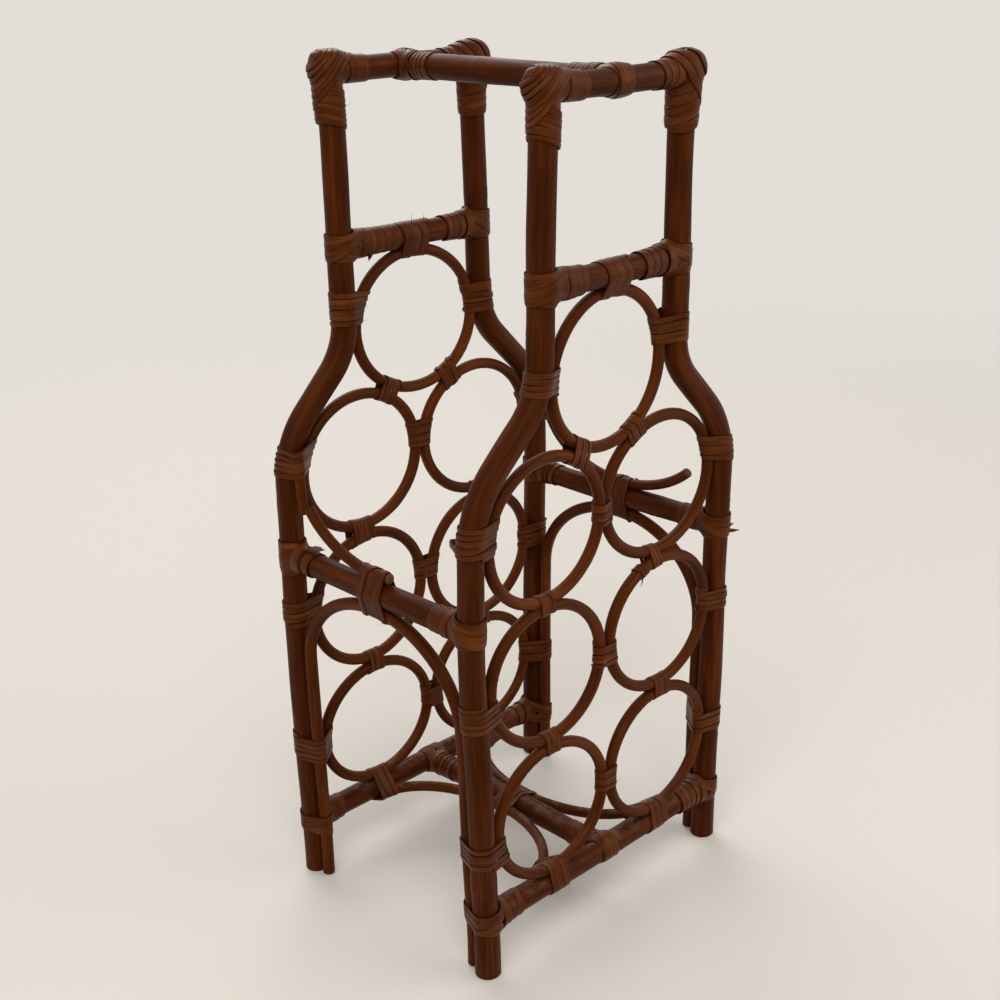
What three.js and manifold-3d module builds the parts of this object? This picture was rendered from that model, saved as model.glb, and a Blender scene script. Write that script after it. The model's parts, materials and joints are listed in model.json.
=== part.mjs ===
// A rattan wine rack. Two end panels of bent pole, with broad shoulders and a narrow neck, are filled
// with hoops, and are joined by a carrying handle, side rails, arches, braces and a base stretcher.
// Every joint is lashed with flat cane. Millimetres, +Z up. The origin is on the floor, midway
// between the four legs. +Y runs from the front panel to the back one.

import * as THREE from "three";
import { mergeVertices } from "three/addons/utils/BufferGeometryUtils.js";
import Module from "manifold-3d";

const wasm = await Module();
wasm.setup();

// Rod diameters
const POLE_D = 19.5;
const RAIL_D = 18.5;
const HANDLE_D = 17;
const HOOP_ROD_D = 9;
const ARCH_ROD_D = 10;
const BRACE_ROD_D = 8.5;
const BOW_ROD_D = 8.5;

// Spans between rod axes, and heights of rod axes above the floor
const LEG_SPAN = 270;
const NECK_SPAN = 143;
const DEPTH = 205;
const BOTTOM_RAIL_Z = 47;
const SIDE_RAIL_Z = 283;
const NECK_RAIL_Z = 512;
const TOP_RAIL_Z = 641;

// Bends of the posts from the wide body to the narrow neck
const SHOULDER_R = 75;
const NECK_BEND_R = 55;
const SHOULDER_SLOPE = THREE.MathUtils.degToRad(45);

// Hoops: three rows of two, and one in the neck
const HOOP_H = 113;
const HOOP_ROWS = ["lower", "middle", "upper"];
const HOOP_SEAM = 0.6;

// Bent rods of the sides and the base. The left brace has lost its front half, and the front end of
// the right one has sprung from its post.
const ARCH_SPRING_Z = 200;
const ARCH_FOOT_Z = 1;
const BRACE_END_Z = 357;
const LEFT_BRACE_FRONT = 17;
const RIGHT_BRACE_FRONT = 71;
const BOW_END_X = 75;
const BOW_TAIL = 10;

// Cane lashings
const CANE_W = 5;
const CANE_T = 1.2;
const CANE_GAP = 0.6;
const LASHING_TURNS = 2;
const NECK_TIE_TURNS = 5;
const SIDE_TIE_TURNS = 4;
const BOW_TIE_TURNS = 3;
const CORNER_CANE_W = 7.5;
const CORNER_FAN_TURNS = 4;
const CORNER_FAN_INSET = 5;
const CORNER_FAN_W = 10;
const CORNER_GAP = 0.9;
const CORNER_ON_RAIL = 45;
const CORNER_ON_POST = 48;

// Clearance where two pieces touch, the same for cane over bent rods, and how finely round things
// are faceted
const FIT = 0.3;
const BENT_FIT = 0.6;
const POLE_SIDES = 12;
const ROD_SIDES = 8;
const HOOP_STEPS = 20;
const BEND_STEPS = 6;
const BOW_STEPS = 14;
const TURN_STEPS = 8;
const CORNER_SLICES = 16;

// Sizes that follow from those above
const POLE_R = POLE_D / 2;
const RAIL_R = RAIL_D / 2;
const HANDLE_R = HANDLE_D / 2;
const HOOP_R = HOOP_ROD_D / 2;
const ARCH_R = ARCH_ROD_D / 2;
const BRACE_R = BRACE_ROD_D / 2;
const BOW_R = BOW_ROD_D / 2;
const LEG_X = LEG_SPAN / 2;
const NECK_X = NECK_SPAN / 2;
const HALF_DEPTH = DEPTH / 2;
const POST_TOP_Z = TOP_RAIL_Z + RAIL_R;
const CANE_PITCH = CANE_W + CANE_GAP;
const rowZ = (row) => BOTTOM_RAIL_Z + RAIL_R + FIT + HOOP_H / 2 + row * (HOOP_H + FIT);
const SHOULDER_Z = rowZ(HOOP_ROWS.length - 1);

// Colours of the stained pole, the thinner hoops and the cane
const poleFinish = new THREE.MeshStandardMaterial({ color: 0x5a2d16, roughness: 0.45, metalness: 0 });
const hoopFinish = new THREE.MeshStandardMaterial({ color: 0x623418, roughness: 0.5, metalness: 0 });
const caneFinish = new THREE.MeshStandardMaterial({ color: 0x744020, roughness: 0.4, metalness: 0 });

const rack = new THREE.Group();
rack.name = "rattan_wine_rack";

// Adds a named piece to a group and returns it.
function add(group, name, geometry, material) {
  const mesh = new THREE.Mesh(geometry, material);
  mesh.name = name;
  group.add(mesh);
  return mesh;
}

// Solids for cutting and joining

function toSolid(geometry) {
  const bare = geometry.clone();
  bare.deleteAttribute("normal");
  bare.deleteAttribute("uv");
  const merged = mergeVertices(bare, 1e-4);
  return new wasm.Manifold(
    new wasm.Mesh({
      numProp: 3,
      vertProperties: merged.attributes.position.array,
      triVerts: new Uint32Array(merged.index.array),
    }),
  );
}

function toGeometry(solid) {
  const mesh = solid.getMesh();
  const geometry = new THREE.BufferGeometry();
  geometry.setAttribute("position", new THREE.BufferAttribute(mesh.vertProperties, 3));
  geometry.setIndex(new THREE.BufferAttribute(mesh.triVerts, 1));
  geometry.computeVertexNormals();
  return geometry;
}

// A round bar from low to high along X or Z. A hollow has its flats, not its corners, at the radius.
function bar(axis, radius, low, high, hollow = false) {
  const reach = hollow ? radius / Math.cos(Math.PI / POLE_SIDES) : radius;
  const geometry = new THREE.CylinderGeometry(reach, reach, high - low, POLE_SIDES);
  geometry.translate(0, (low + high) / 2, 0);
  if (axis === "x") geometry.rotateZ(-Math.PI / 2);
  if (axis === "z") geometry.rotateX(Math.PI / 2);
  return geometry;
}

// Bent rods

// A curve given by a function of t from 0 to 1.
class FormulaCurve extends THREE.Curve {
  constructor(formula) {
    super();
    this.formula = formula;
  }
  getPoint(t) {
    return this.formula(t);
  }
}

// A rod's centre line made of curves end to end, each cut into its own number of steps.
class SteppedPath extends THREE.Curve {
  constructor(pieces) {
    super();
    this.pieces = pieces;
    this.steps = pieces.reduce((sum, piece) => sum + piece.steps, 0);
  }
  locate(t) {
    let step = t * this.steps;
    for (const { curve, steps } of this.pieces) {
      if (step <= steps) return [curve, step / steps];
      step -= steps;
    }
    return [this.pieces.at(-1).curve, 1];
  }
  getPointAt(t) {
    const [curve, u] = this.locate(t);
    return curve.getPoint(u);
  }
  getTangentAt(t) {
    const [curve, u] = this.locate(t);
    return curve.getTangent(u);
  }
}

function line(from, to) {
  return { curve: new THREE.LineCurve3(from, to), steps: 1 };
}

// An ellipse from one angle to another, about a centre and two half-axes given as vectors.
function arc(centre, across, along, from, to, steps) {
  const at = (t) => {
    const angle = from + (to - from) * t;
    return centre
      .clone()
      .addScaledVector(across, Math.cos(angle))
      .addScaledVector(along, Math.sin(angle));
  };
  return { curve: new FormulaCurve(at), steps };
}

function rod(pieces, diameter, sides) {
  const section = [...Array(sides).keys()].map((i) => {
    const angle = (2 * Math.PI * (i + 0.5)) / sides;
    return new THREE.Vector2(Math.cos(angle), Math.sin(angle)).multiplyScalar(diameter / 2);
  });
  const path = new SteppedPath(pieces);
  return new THREE.ExtrudeGeometry(new THREE.Shape(section), { steps: path.steps, extrudePath: path });
}

const v = (x, y, z) => new THREE.Vector3(x, y, z);

// One side of a panel's outline: a straight leg, the shoulder, a slope and the straight neck.
// The slope is as steep as the offset between leg and neck leaves room for.
function postPath(side) {
  const offset = LEG_X - NECK_X;
  const steepest = Math.acos(Math.max(-1, 1 - offset / (SHOULDER_R + NECK_BEND_R)));
  const slope = Math.min(SHOULDER_SLOPE, steepest);
  const run = (offset - (SHOULDER_R + NECK_BEND_R) * (1 - Math.cos(slope))) / Math.sin(slope);
  const neckZ = SHOULDER_Z + (SHOULDER_R + NECK_BEND_R) * Math.sin(slope) + run * Math.cos(slope);
  const shoulderAt = v(side * (LEG_X - SHOULDER_R), 0, SHOULDER_Z);
  const neckAt = v(side * (NECK_X + NECK_BEND_R), 0, neckZ);
  const out = v(side, 0, 0);
  const up = v(0, 0, 1);
  const scaled = (vector, length) => vector.clone().multiplyScalar(length);
  const shoulder = arc(shoulderAt, scaled(out, SHOULDER_R), scaled(up, SHOULDER_R), 0, slope, BEND_STEPS);
  const bend = arc(neckAt, scaled(out, -NECK_BEND_R), scaled(up, -NECK_BEND_R), slope, 0, BEND_STEPS);
  return [
    line(v(side * LEG_X, 0, 0), v(side * LEG_X, 0, SHOULDER_Z)),
    shoulder,
    line(shoulder.curve.getPoint(1), bend.curve.getPoint(0)),
    bend,
    line(bend.curve.getPoint(1), v(side * NECK_X, 0, POST_TOP_Z)),
  ];
}

// A rail along X with both ends hollowed to sit against a round pole that runs along Z.
function copedRail(span, diameter, seatDiameter) {
  const seat = seatDiameter / 2 + FIT;
  let solid = toSolid(bar("x", diameter / 2, -span / 2, span / 2));
  for (const end of [-1, 1]) {
    const cutter = bar("z", seat, -diameter, diameter, true).translate((end * span) / 2, 0, 0);
    solid = solid.subtract(toSolid(cutter));
  }
  return toGeometry(solid);
}

// Hoops

// A hoop's axis is an ellipse in the panel's plane. The rod's ends meet at the seam angle.
function hoopCurve({ x, z, halfW, halfH, seam }, cut, steps) {
  const across = v(halfW - HOOP_R, 0, 0);
  const along = v(0, 0, halfH - HOOP_R);
  return arc(v(x, 0, z), across, along, seam + cut, seam + 2 * Math.PI - cut, steps);
}

function hoopGeometry(hoop) {
  const cut = HOOP_SEAM / 2 / (hoop.halfW - HOOP_R);
  return rod([hoopCurve(hoop, cut, HOOP_STEPS)], HOOP_ROD_D, ROD_SIDES);
}

// The hoops of the rows fill the width between the posts, two to a row.
function rowHoop(row, side) {
  const halfW = (LEG_X - POLE_R - FIT - FIT / 2) / 2;
  const seam = side > 0 ? 0 : Math.PI;
  return { x: side * (FIT / 2 + halfW), z: rowZ(row), halfW, halfH: HOOP_H / 2, seam };
}

const SAMPLES = 90;

function axisPoints(pieces) {
  return pieces.flatMap(({ curve }) => curve.getPoints(SAMPLES));
}

function leastDistance(pointsA, pointsB) {
  let least = Infinity;
  for (const a of pointsA) for (const b of pointsB) least = Math.min(least, a.distanceTo(b));
  return least;
}

// The largest value between low and high that passes a test which small values pass.
function largest(low, high, passes) {
  for (let i = 0; i < 24; i++) {
    const middle = (low + high) / 2;
    if (passes(middle)) low = middle;
    else high = middle;
  }
  return low;
}

// The neck hoop hangs from the neck rail and grows until it bears on the upper hoops and the posts.
function fitNeckHoop() {
  const top = NECK_RAIL_Z - RAIL_R - FIT;
  const upper = axisPoints([hoopCurve(rowHoop(HOOP_ROWS.length - 1, 1), 0, 1)]);
  const post = axisPoints(postPath(1));
  const shaped = (halfW, halfH) => ({ x: 0, z: top - halfH, halfW, halfH, seam: Math.PI / 2 });
  const axis = (halfW, halfH) => axisPoints([hoopCurve(shaped(halfW, halfH), 0, 1)]);
  const clearOfHoops = HOOP_ROD_D + FIT;
  const clearOfPosts = POLE_R + HOOP_R + FIT;
  let halfW = NECK_X - POLE_R - FIT;
  let halfH = halfW;
  for (let pass = 0; pass < 4; pass++) {
    halfH = largest(HOOP_ROD_D, top - SHOULDER_Z, (h) => leastDistance(axis(halfW, h), upper) > clearOfHoops);
    halfW = largest(HOOP_ROD_D, LEG_X, (w) => leastDistance(axis(w, halfH), post) > clearOfPosts);
  }
  return shaped(halfW, halfH);
}

const neckHoop = fitNeckHoop();

// Cane windings

// How far a belt drawn tight round some rod sections reaches in a direction.
function beltReach(sections, angle) {
  const direction = new THREE.Vector2(Math.cos(angle), Math.sin(angle));
  return Math.max(...sections.map((s) => s.at.dot(direction) + s.radius));
}

// The belt's corner in a direction, on a belt of straight chords that stays outside the sections: where
// its tangents half a step before and half a step after that direction meet.
function beltPoint(sections, angle, slack) {
  const half = Math.PI / TURN_STEPS;
  const standoff = slack + CANE_T / 2;
  const before = beltReach(sections, angle - half) + standoff;
  const after = beltReach(sections, angle + half) + standoff;
  const out = (after + before) / (2 * Math.cos(half));
  const aside = (after - before) / (2 * Math.sin(half));
  return new THREE.Vector2(out, aside).rotateAround(new THREE.Vector2(), angle);
}

const section = (across, up, radius) => ({ at: new THREE.Vector2(across, up), radius });

// A helix along X round rods whose sections, in Y and Z, may shift outwards along X. The strip is laid
// clear of the rods at its edge farther from the middle.
function tieRoute(turns, sectionsAt) {
  const length = turns * CANE_PITCH;
  const steps = turns * TURN_STEPS;
  return [...Array(steps + 1).keys()].map((i) => {
    const x = length * (i / steps - 0.5);
    const angle = (2 * Math.PI * i) / TURN_STEPS;
    const belt = beltPoint(sectionsAt(Math.abs(x) + CANE_PITCH), angle, BENT_FIT);
    return { at: v(x, belt.x, belt.y), normal: v(0, Math.cos(angle), Math.sin(angle)) };
  });
}

// A lashing of a rail along +X to a pole along Z, in one strip: turns on the rail, a pass round the
// back of the pole under the middle of the joint, over the rail, and a second pass above the middle.
// Rods that run beside the pole are bound in with it.
function lashingRoute(poleR, railR, beside = []) {
  const offRail = (railR + FIT + CANE_T / 2) / Math.cos(Math.PI / TURN_STEPS);
  const nearX = poleR + FIT + CANE_W / 2 + CANE_GAP;
  const turnEnd = -0.7;
  const turnEndX = nearX + 0.62 * CANE_PITCH;
  const passZ = CANE_PITCH / 2;
  const bound = [section(0, 0, poleR), ...beside];
  const backStop = beside.length ? -1.75 * Math.PI : -1.5 * Math.PI;

  // On the rail the angle runs from the front, -Y, over the top to the back.
  const onRail = (x, angle) => {
    const normal = v(0, -Math.cos(angle), Math.sin(angle));
    return { at: v(x, 0, 0).addScaledVector(normal, offRail), normal };
  };
  const turns = [...Array(LASHING_TURNS * TURN_STEPS + 1).keys()].map((i) => {
    const left = LASHING_TURNS - i / TURN_STEPS;
    return onRail(turnEndX + left * CANE_PITCH, turnEnd - 2 * Math.PI * left);
  });
  const roundPole = (z, steps) =>
    [...Array(steps + 1).keys()].map((i) => {
      const angle = -Math.PI / 2 + (backStop + Math.PI / 2) * (i / steps);
      const belt = beltPoint(bound, angle, FIT);
      return { at: v(belt.x, belt.y, z), normal: v(Math.cos(angle), Math.sin(angle), 0) };
    });
  const front = (x, z) => ({ at: v(x, -offRail, z), normal: v(0, -1, 0) });
  const passSteps = (TURN_STEPS / 8) * (beside.length ? 5 : 4);
  const overTop = [0.95, 0.78, 0.6, 0.4, 0.22].map((share) => onRail(nearX, Math.PI * share));
  return [
    ...turns,
    front(nearX, -passZ - 0.1 * CANE_W),
    front(nearX / 2, -passZ),
    ...roundPole(-passZ, passSteps),
    ...overTop,
    front(nearX / 2, passZ),
    ...roundPole(passZ, passSteps),
  ];
}

// The corners of the strip's section at each point of its route, with the flat side on the rods.
function stripCorners(route) {
  return route.map(({ at, normal, width = CANE_W }, i) => {
    const before = route[Math.max(0, i - 1)].at;
    const after = route[Math.min(route.length - 1, i + 1)].at;
    const tangent = after.clone().sub(before).normalize();
    const side = normal.clone().cross(tangent).normalize();
    const corner = (across, out) =>
      at
        .clone()
        .addScaledVector(side, (across * width) / 2)
        .addScaledVector(normal, (out * CANE_T) / 2);
    return [corner(-1, -1), corner(1, -1), corner(1, 1), corner(-1, 1)];
  });
}

// The least distance between corners of the strip that are more than half a turn apart.
function leastGap(corners) {
  const apart = TURN_STEPS / 2;
  let least = Infinity;
  corners.forEach((ring, i) => {
    for (const other of corners.slice(i + apart + 1)) least = Math.min(least, leastDistance(ring, other));
  });
  return least;
}

// One unbroken flat strip along a route.
function winding(name, route) {
  const corners = stripCorners(route);
  console.log(`${name}: least gap between turns ${leastGap(corners).toFixed(2)} mm`);
  const positions = corners.flat().flatMap((p) => [p.x, p.y, p.z]);
  const triangles = [0, 3, 2, 0, 2, 1];
  for (let i = 0; i < corners.length - 1; i++) {
    for (let k = 0; k < 4; k++) {
      const a = 4 * i + k;
      const b = 4 * i + ((k + 1) % 4);
      triangles.push(a, b, b + 4, a, b + 4, a + 4);
    }
  }
  const last = 4 * (corners.length - 1);
  triangles.push(last, last + 1, last + 2, last, last + 2, last + 3);
  const geometry = new THREE.BufferGeometry();
  geometry.setAttribute("position", new THREE.Float32BufferAttribute(positions, 3));
  geometry.setIndex(triangles);
  geometry.computeVertexNormals();
  return geometry;
}

function addWinding(group, name, route) {
  return add(group, name, winding(name, route), caneFinish);
}

// A lashing at one end of a rail along X, mirrored at the other end.
function addEndLashing(group, name, x, z, route) {
  const lashing = addWinding(group, name, route);
  lashing.position.set(x, 0, z);
  lashing.scale.x = -Math.sign(x);
}

// The section of a corner, where a rail along +X meets the top of a post, in a plane that stands on
// the line Y and leans from a foot in X and Z along a direction. Given in that direction and in Y.
function cornerSection(foot, lean) {
  const points = [];
  for (let i = 0; i <= CORNER_SLICES; i++) {
    const across = Math.sin(Math.PI * (i / CORNER_SLICES - 0.5));
    const inRail = Math.sqrt(1 - across ** 2) * RAIL_R;
    const inPost = Math.sqrt(1 - across ** 2) * POLE_R;
    const reach = (low, high, from, slope) => {
      if (Math.abs(slope) > 1e-9) return [(low - from) / slope, (high - from) / slope].sort((a, b) => a - b);
      return from >= low && from <= high ? [-Infinity, Infinity] : [Infinity, -Infinity];
    };
    const both = (a, b) => [Math.max(a[0], b[0]), Math.min(a[1], b[1])];
    const rail = both(reach(-inRail, inRail, foot.y, lean.y), reach(0, 2 * CORNER_ON_RAIL, foot.x, lean.x));
    const post = both(
      reach(-inPost, inPost, foot.x, lean.x),
      reach(-2 * CORNER_ON_POST, RAIL_R, foot.y, lean.y),
    );
    if (rail[0] < rail[1]) for (const out of rail) points.push(section(out, across * RAIL_R, 0));
    if (post[0] < post[1]) for (const out of post) points.push(section(out, across * POLE_R, 0));
  }
  return points;
}

// One strip that winds in along the rail, fans round the corner about a line inside it, and winds down
// the post. It is as wide as the turns beside it leave room for.
function cornerRoute() {
  const pitch = CORNER_CANE_W + CORNER_GAP;
  const pivot = new THREE.Vector2(POLE_R + CORNER_FAN_INSET, -RAIL_R - CORNER_FAN_INSET);
  const onRail = CORNER_ON_RAIL - pivot.x - CORNER_CANE_W / 2;
  const onPost = CORNER_ON_POST + pivot.y - CORNER_CANE_W / 2;
  const railTurns = onRail / pitch;
  const postTurns = onPost / pitch;
  const turns = railTurns + CORNER_FAN_TURNS + postTurns;
  const planeAt = (turn) => {
    const toPivot = Math.max(0, railTurns - turn) * pitch;
    const pastPivot = Math.max(0, turn - railTurns - CORNER_FAN_TURNS) * pitch;
    const fan = THREE.MathUtils.clamp((turn - railTurns) / CORNER_FAN_TURNS, 0, 1) * (Math.PI / 2);
    return {
      foot: new THREE.Vector2(pivot.x + toPivot, pivot.y - pastPivot),
      lean: new THREE.Vector2(-Math.sin(fan), Math.cos(fan)),
    };
  };
  const sectionAt = (turn) => {
    const { foot, lean } = planeAt(turn);
    return cornerSection(foot, lean);
  };
  const route = [];
  for (let i = 0; i <= turns * TURN_STEPS; i++) {
    const turn = i / TURN_STEPS;
    const angle = 2 * Math.PI * turn;
    const underStrip = [turn - 0.5, turn - 0.25, turn, turn + 0.25, turn + 0.5].flatMap(sectionAt);
    const belt = beltPoint(underStrip, angle, FIT);
    const { foot, lean } = planeAt(turn);
    const at = v(foot.x + belt.x * lean.x, belt.y, foot.y + belt.x * lean.y);
    const normal = v(Math.cos(angle) * lean.x, Math.sin(angle), Math.cos(angle) * lean.y);
    route.push({ at, normal });
  }
  route.forEach((point, i) => {
    const beside = [route[i - TURN_STEPS], route[i + TURN_STEPS]].filter(Boolean);
    const room = Math.min(...beside.map((other) => other.at.distanceTo(point.at)));
    point.width = Math.min(CORNER_FAN_W, room - CORNER_GAP);
  });
  return route;
}

// Faces of the rack

// A face's group has X along the face and +Y inwards, and its plane stands off the rack's middle.
function face(turn, standoff) {
  const turned = new THREE.Group();
  turned.rotation.z = turn;
  const plane = new THREE.Group();
  plane.position.y = -standoff;
  turned.add(plane);
  rack.add(turned);
  return plane;
}

// The rod beside each leg, inside it, is the leg of a side arch.
const ARCH_OFFSET = POLE_R + FIT + ARCH_R;

function addPanel(name, turn) {
  const panel = face(turn, HALF_DEPTH);
  const sideName = (side) => (side * Math.cos(turn) < 0 ? "left" : "right");
  const rails = [
    ["top", TOP_RAIL_Z, NECK_SPAN],
    ["neck", NECK_RAIL_Z, NECK_SPAN],
    ["bottom", BOTTOM_RAIL_Z, LEG_SPAN],
  ];
  for (const [level, z, span] of rails) {
    add(panel, `${name}_${level}_rail`, copedRail(span, RAIL_D, POLE_D), poleFinish).position.z = z;
  }
  for (const side of [-1, 1]) {
    const corner = `${name}_${sideName(side)}`;
    add(panel, `${corner}_post`, rod(postPath(side), POLE_D, POLE_SIDES), poleFinish);
    HOOP_ROWS.forEach((row, level) => {
      const hoop = hoopGeometry(rowHoop(level, side));
      add(panel, `${name}_${row}_${sideName(side)}_hoop`, hoop, hoopFinish);
    });
    addEndLashing(panel, `${corner}_corner_wrap`, side * NECK_X, TOP_RAIL_Z, cornerRoute());
    const plain = lashingRoute(POLE_R, RAIL_R);
    const withArch = lashingRoute(POLE_R, RAIL_R, [section(0, ARCH_OFFSET, ARCH_R)]);
    addEndLashing(panel, `${corner}_neck_lashing`, side * NECK_X, NECK_RAIL_Z, plain);
    addEndLashing(panel, `${corner}_foot_lashing`, side * LEG_X, BOTTOM_RAIL_Z, withArch);
  }
  add(panel, `${name}_neck_hoop`, hoopGeometry(neckHoop), hoopFinish);

  // The neck hoop's top falls away from the rail on either side of the middle.
  const hoopDrop = (x) => (neckHoop.halfH - HOOP_R) * (1 - Math.sqrt(1 - (x / (neckHoop.halfW - HOOP_R)) ** 2));
  const railAndHoop = (x) => [
    section(0, 0, RAIL_R),
    section(0, -(RAIL_R + FIT + HOOP_R) - hoopDrop(x), HOOP_R),
  ];
  addWinding(panel, `${name}_neck_hoop_tie`, tieRoute(NECK_TIE_TURNS, railAndHoop)).position.z = NECK_RAIL_Z;

  // The handle and the stretcher meet the middles of the top and bottom rails.
  const inwards = new THREE.Matrix4().makeBasis(v(0, 1, 0), v(0, 0, 1), v(1, 0, 0));
  const butts = [
    ["handle", TOP_RAIL_Z, HANDLE_R],
    ["stretcher", BOTTOM_RAIL_Z, RAIL_R],
  ];
  for (const [piece, z, radius] of butts) {
    const lashing = addWinding(panel, `${name}_${piece}_lashing`, lashingRoute(RAIL_R, radius));
    lashing.quaternion.setFromRotationMatrix(inwards);
    lashing.position.z = z;
  }
}

// The half-ellipses of a side's arch and brace, about the middle of the side
const ARCH_HALF = HALF_DEPTH - ARCH_OFFSET;
const ARCH_TOP_Z = SIDE_RAIL_Z - RAIL_R - FIT - ARCH_R;
const ARCH_RISE = ARCH_TOP_Z - ARCH_SPRING_Z;
const BRACE_HALF = HALF_DEPTH - POLE_R - FIT - BRACE_R;
const BRACE_LOW_Z = SIDE_RAIL_Z + RAIL_R + FIT + BRACE_R;
const BRACE_FALL = BRACE_END_Z - BRACE_LOW_Z;

function archGeometry() {
  const foot = (end) => v(end * ARCH_HALF, 0, ARCH_FOOT_Z);
  const spring = (end) => v(end * ARCH_HALF, 0, ARCH_SPRING_Z);
  const bend = arc(v(0, 0, ARCH_SPRING_Z), v(-ARCH_HALF, 0, 0), v(0, 0, ARCH_RISE), 0, Math.PI, BOW_STEPS);
  return rod([line(foot(-1), spring(-1)), bend, line(spring(1), foot(1))], ARCH_ROD_D, ROD_SIDES);
}

// A brace dips from the back post to the rail and rises again as far as its front end.
function braceGeometry(back, front) {
  const centre = v(0, 0, BRACE_END_Z);
  const stop = Math.acos(-front / BRACE_HALF);
  const dip = arc(centre, v(back * BRACE_HALF, 0, 0), v(0, 0, -BRACE_FALL), 0, stop, BOW_STEPS);
  return rod([dip], BRACE_ROD_D, ROD_SIDES);
}

function addSide(name, turn, braceFront) {
  const side = face(turn, LEG_X);
  const back = Math.sign(Math.sin(turn));
  const endName = (end) => (end * back > 0 ? "back" : "front");
  add(side, `${name}_side_rail`, copedRail(DEPTH, RAIL_D, POLE_D), poleFinish).position.z = SIDE_RAIL_Z;
  add(side, `${name}_side_arch`, archGeometry(), hoopFinish);
  add(side, `${name}_side_brace`, braceGeometry(back, braceFront), hoopFinish);
  for (const end of [-1, 1]) {
    const label = `${name}_${endName(end)}_side_lashing`;
    addEndLashing(side, label, end * HALF_DEPTH, SIDE_RAIL_Z, lashingRoute(POLE_R, RAIL_R));
  }
  const archDrop = (x) => ARCH_RISE * (1 - Math.sqrt(1 - (x / ARCH_HALF) ** 2));
  const braceRise = (x) => BRACE_FALL * (1 - Math.sqrt(1 - (x / BRACE_HALF) ** 2));
  const stacked = (x) => [
    section(0, 0, RAIL_R),
    section(0, ARCH_TOP_Z - SIDE_RAIL_Z - archDrop(x), ARCH_R),
    section(0, BRACE_LOW_Z - SIDE_RAIL_Z + braceRise(x), BRACE_R),
  ];
  addWinding(side, `${name}_side_tie`, tieRoute(SIDE_TIE_TURNS, stacked)).position.z = SIDE_RAIL_Z;
}

// The handle and the base

const BOW_HALF = HALF_DEPTH - RAIL_R - FIT - BOW_R;
const BOW_NEAR_X = RAIL_R + FIT + BOW_R;
const BOW_SWELL = BOW_END_X - BOW_NEAR_X;

// A bow runs along the inside of one bottom rail, swings in to the stretcher and out to the other.
function bowGeometry(side) {
  const end = (y) => v(side * BOW_END_X, y, 0);
  const tail = (y) => v(side * (BOW_END_X + BOW_TAIL), y, 0);
  const swing = arc(
    end(0),
    v(0, -BOW_HALF, 0),
    v(-side * BOW_SWELL, 0, 0),
    0,
    Math.PI,
    BOW_STEPS,
  );
  return rod(
    [line(tail(-BOW_HALF), end(-BOW_HALF)), swing, line(end(BOW_HALF), tail(BOW_HALF))],
    BOW_ROD_D,
    ROD_SIDES,
  );
}

// Everything here runs from the front panel to the back one, so its group has X along that way.
function addLengthwise() {
  const lengthwise = new THREE.Group();
  lengthwise.rotation.z = Math.PI / 2;
  rack.add(lengthwise);
  const handle = add(lengthwise, "carry_handle", copedRail(DEPTH, HANDLE_D, RAIL_D), poleFinish);
  const stretcher = add(lengthwise, "base_stretcher", copedRail(DEPTH, RAIL_D, RAIL_D), poleFinish);
  handle.position.z = TOP_RAIL_Z;
  stretcher.position.z = BOTTOM_RAIL_Z;
  for (const level of [handle, stretcher]) level.rotation.x = Math.PI / 2;

  const bowSwing = (x) => BOW_SWELL * (1 - Math.sqrt(1 - (x / BOW_HALF) ** 2));
  const abreast = (x) => [
    section(0, 0, RAIL_R),
    section(BOW_NEAR_X + bowSwing(x), 0, BOW_R),
    section(-BOW_NEAR_X - bowSwing(x), 0, BOW_R),
  ];
  addWinding(lengthwise, "base_bow_tie", tieRoute(BOW_TIE_TURNS, abreast)).position.z = BOTTOM_RAIL_Z;
}

addPanel("front", 0);
addPanel("back", Math.PI);
addSide("left", -Math.PI / 2, LEFT_BRACE_FRONT);
addSide("right", Math.PI / 2, RIGHT_BRACE_FRONT);
addLengthwise();
add(rack, "left_base_bow", bowGeometry(-1), hoopFinish).position.z = BOTTOM_RAIL_Z;
add(rack, "right_base_bow", bowGeometry(1), hoopFinish).position.z = BOTTOM_RAIL_Z;

export default rack;
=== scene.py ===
# %% [markdown]
# # A rattan wine rack, tied with cane
#
# The rack is two panels of rattan poles, each with broad shoulders and a narrow neck, joined by a handle,
# two side rails and a stretcher. Thin bent rods make the hoops, and flat strips of cane bind every
# crossing.

# %% Load the frame
import json

import bpy
import numpy as np
from mathutils import Matrix

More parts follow.
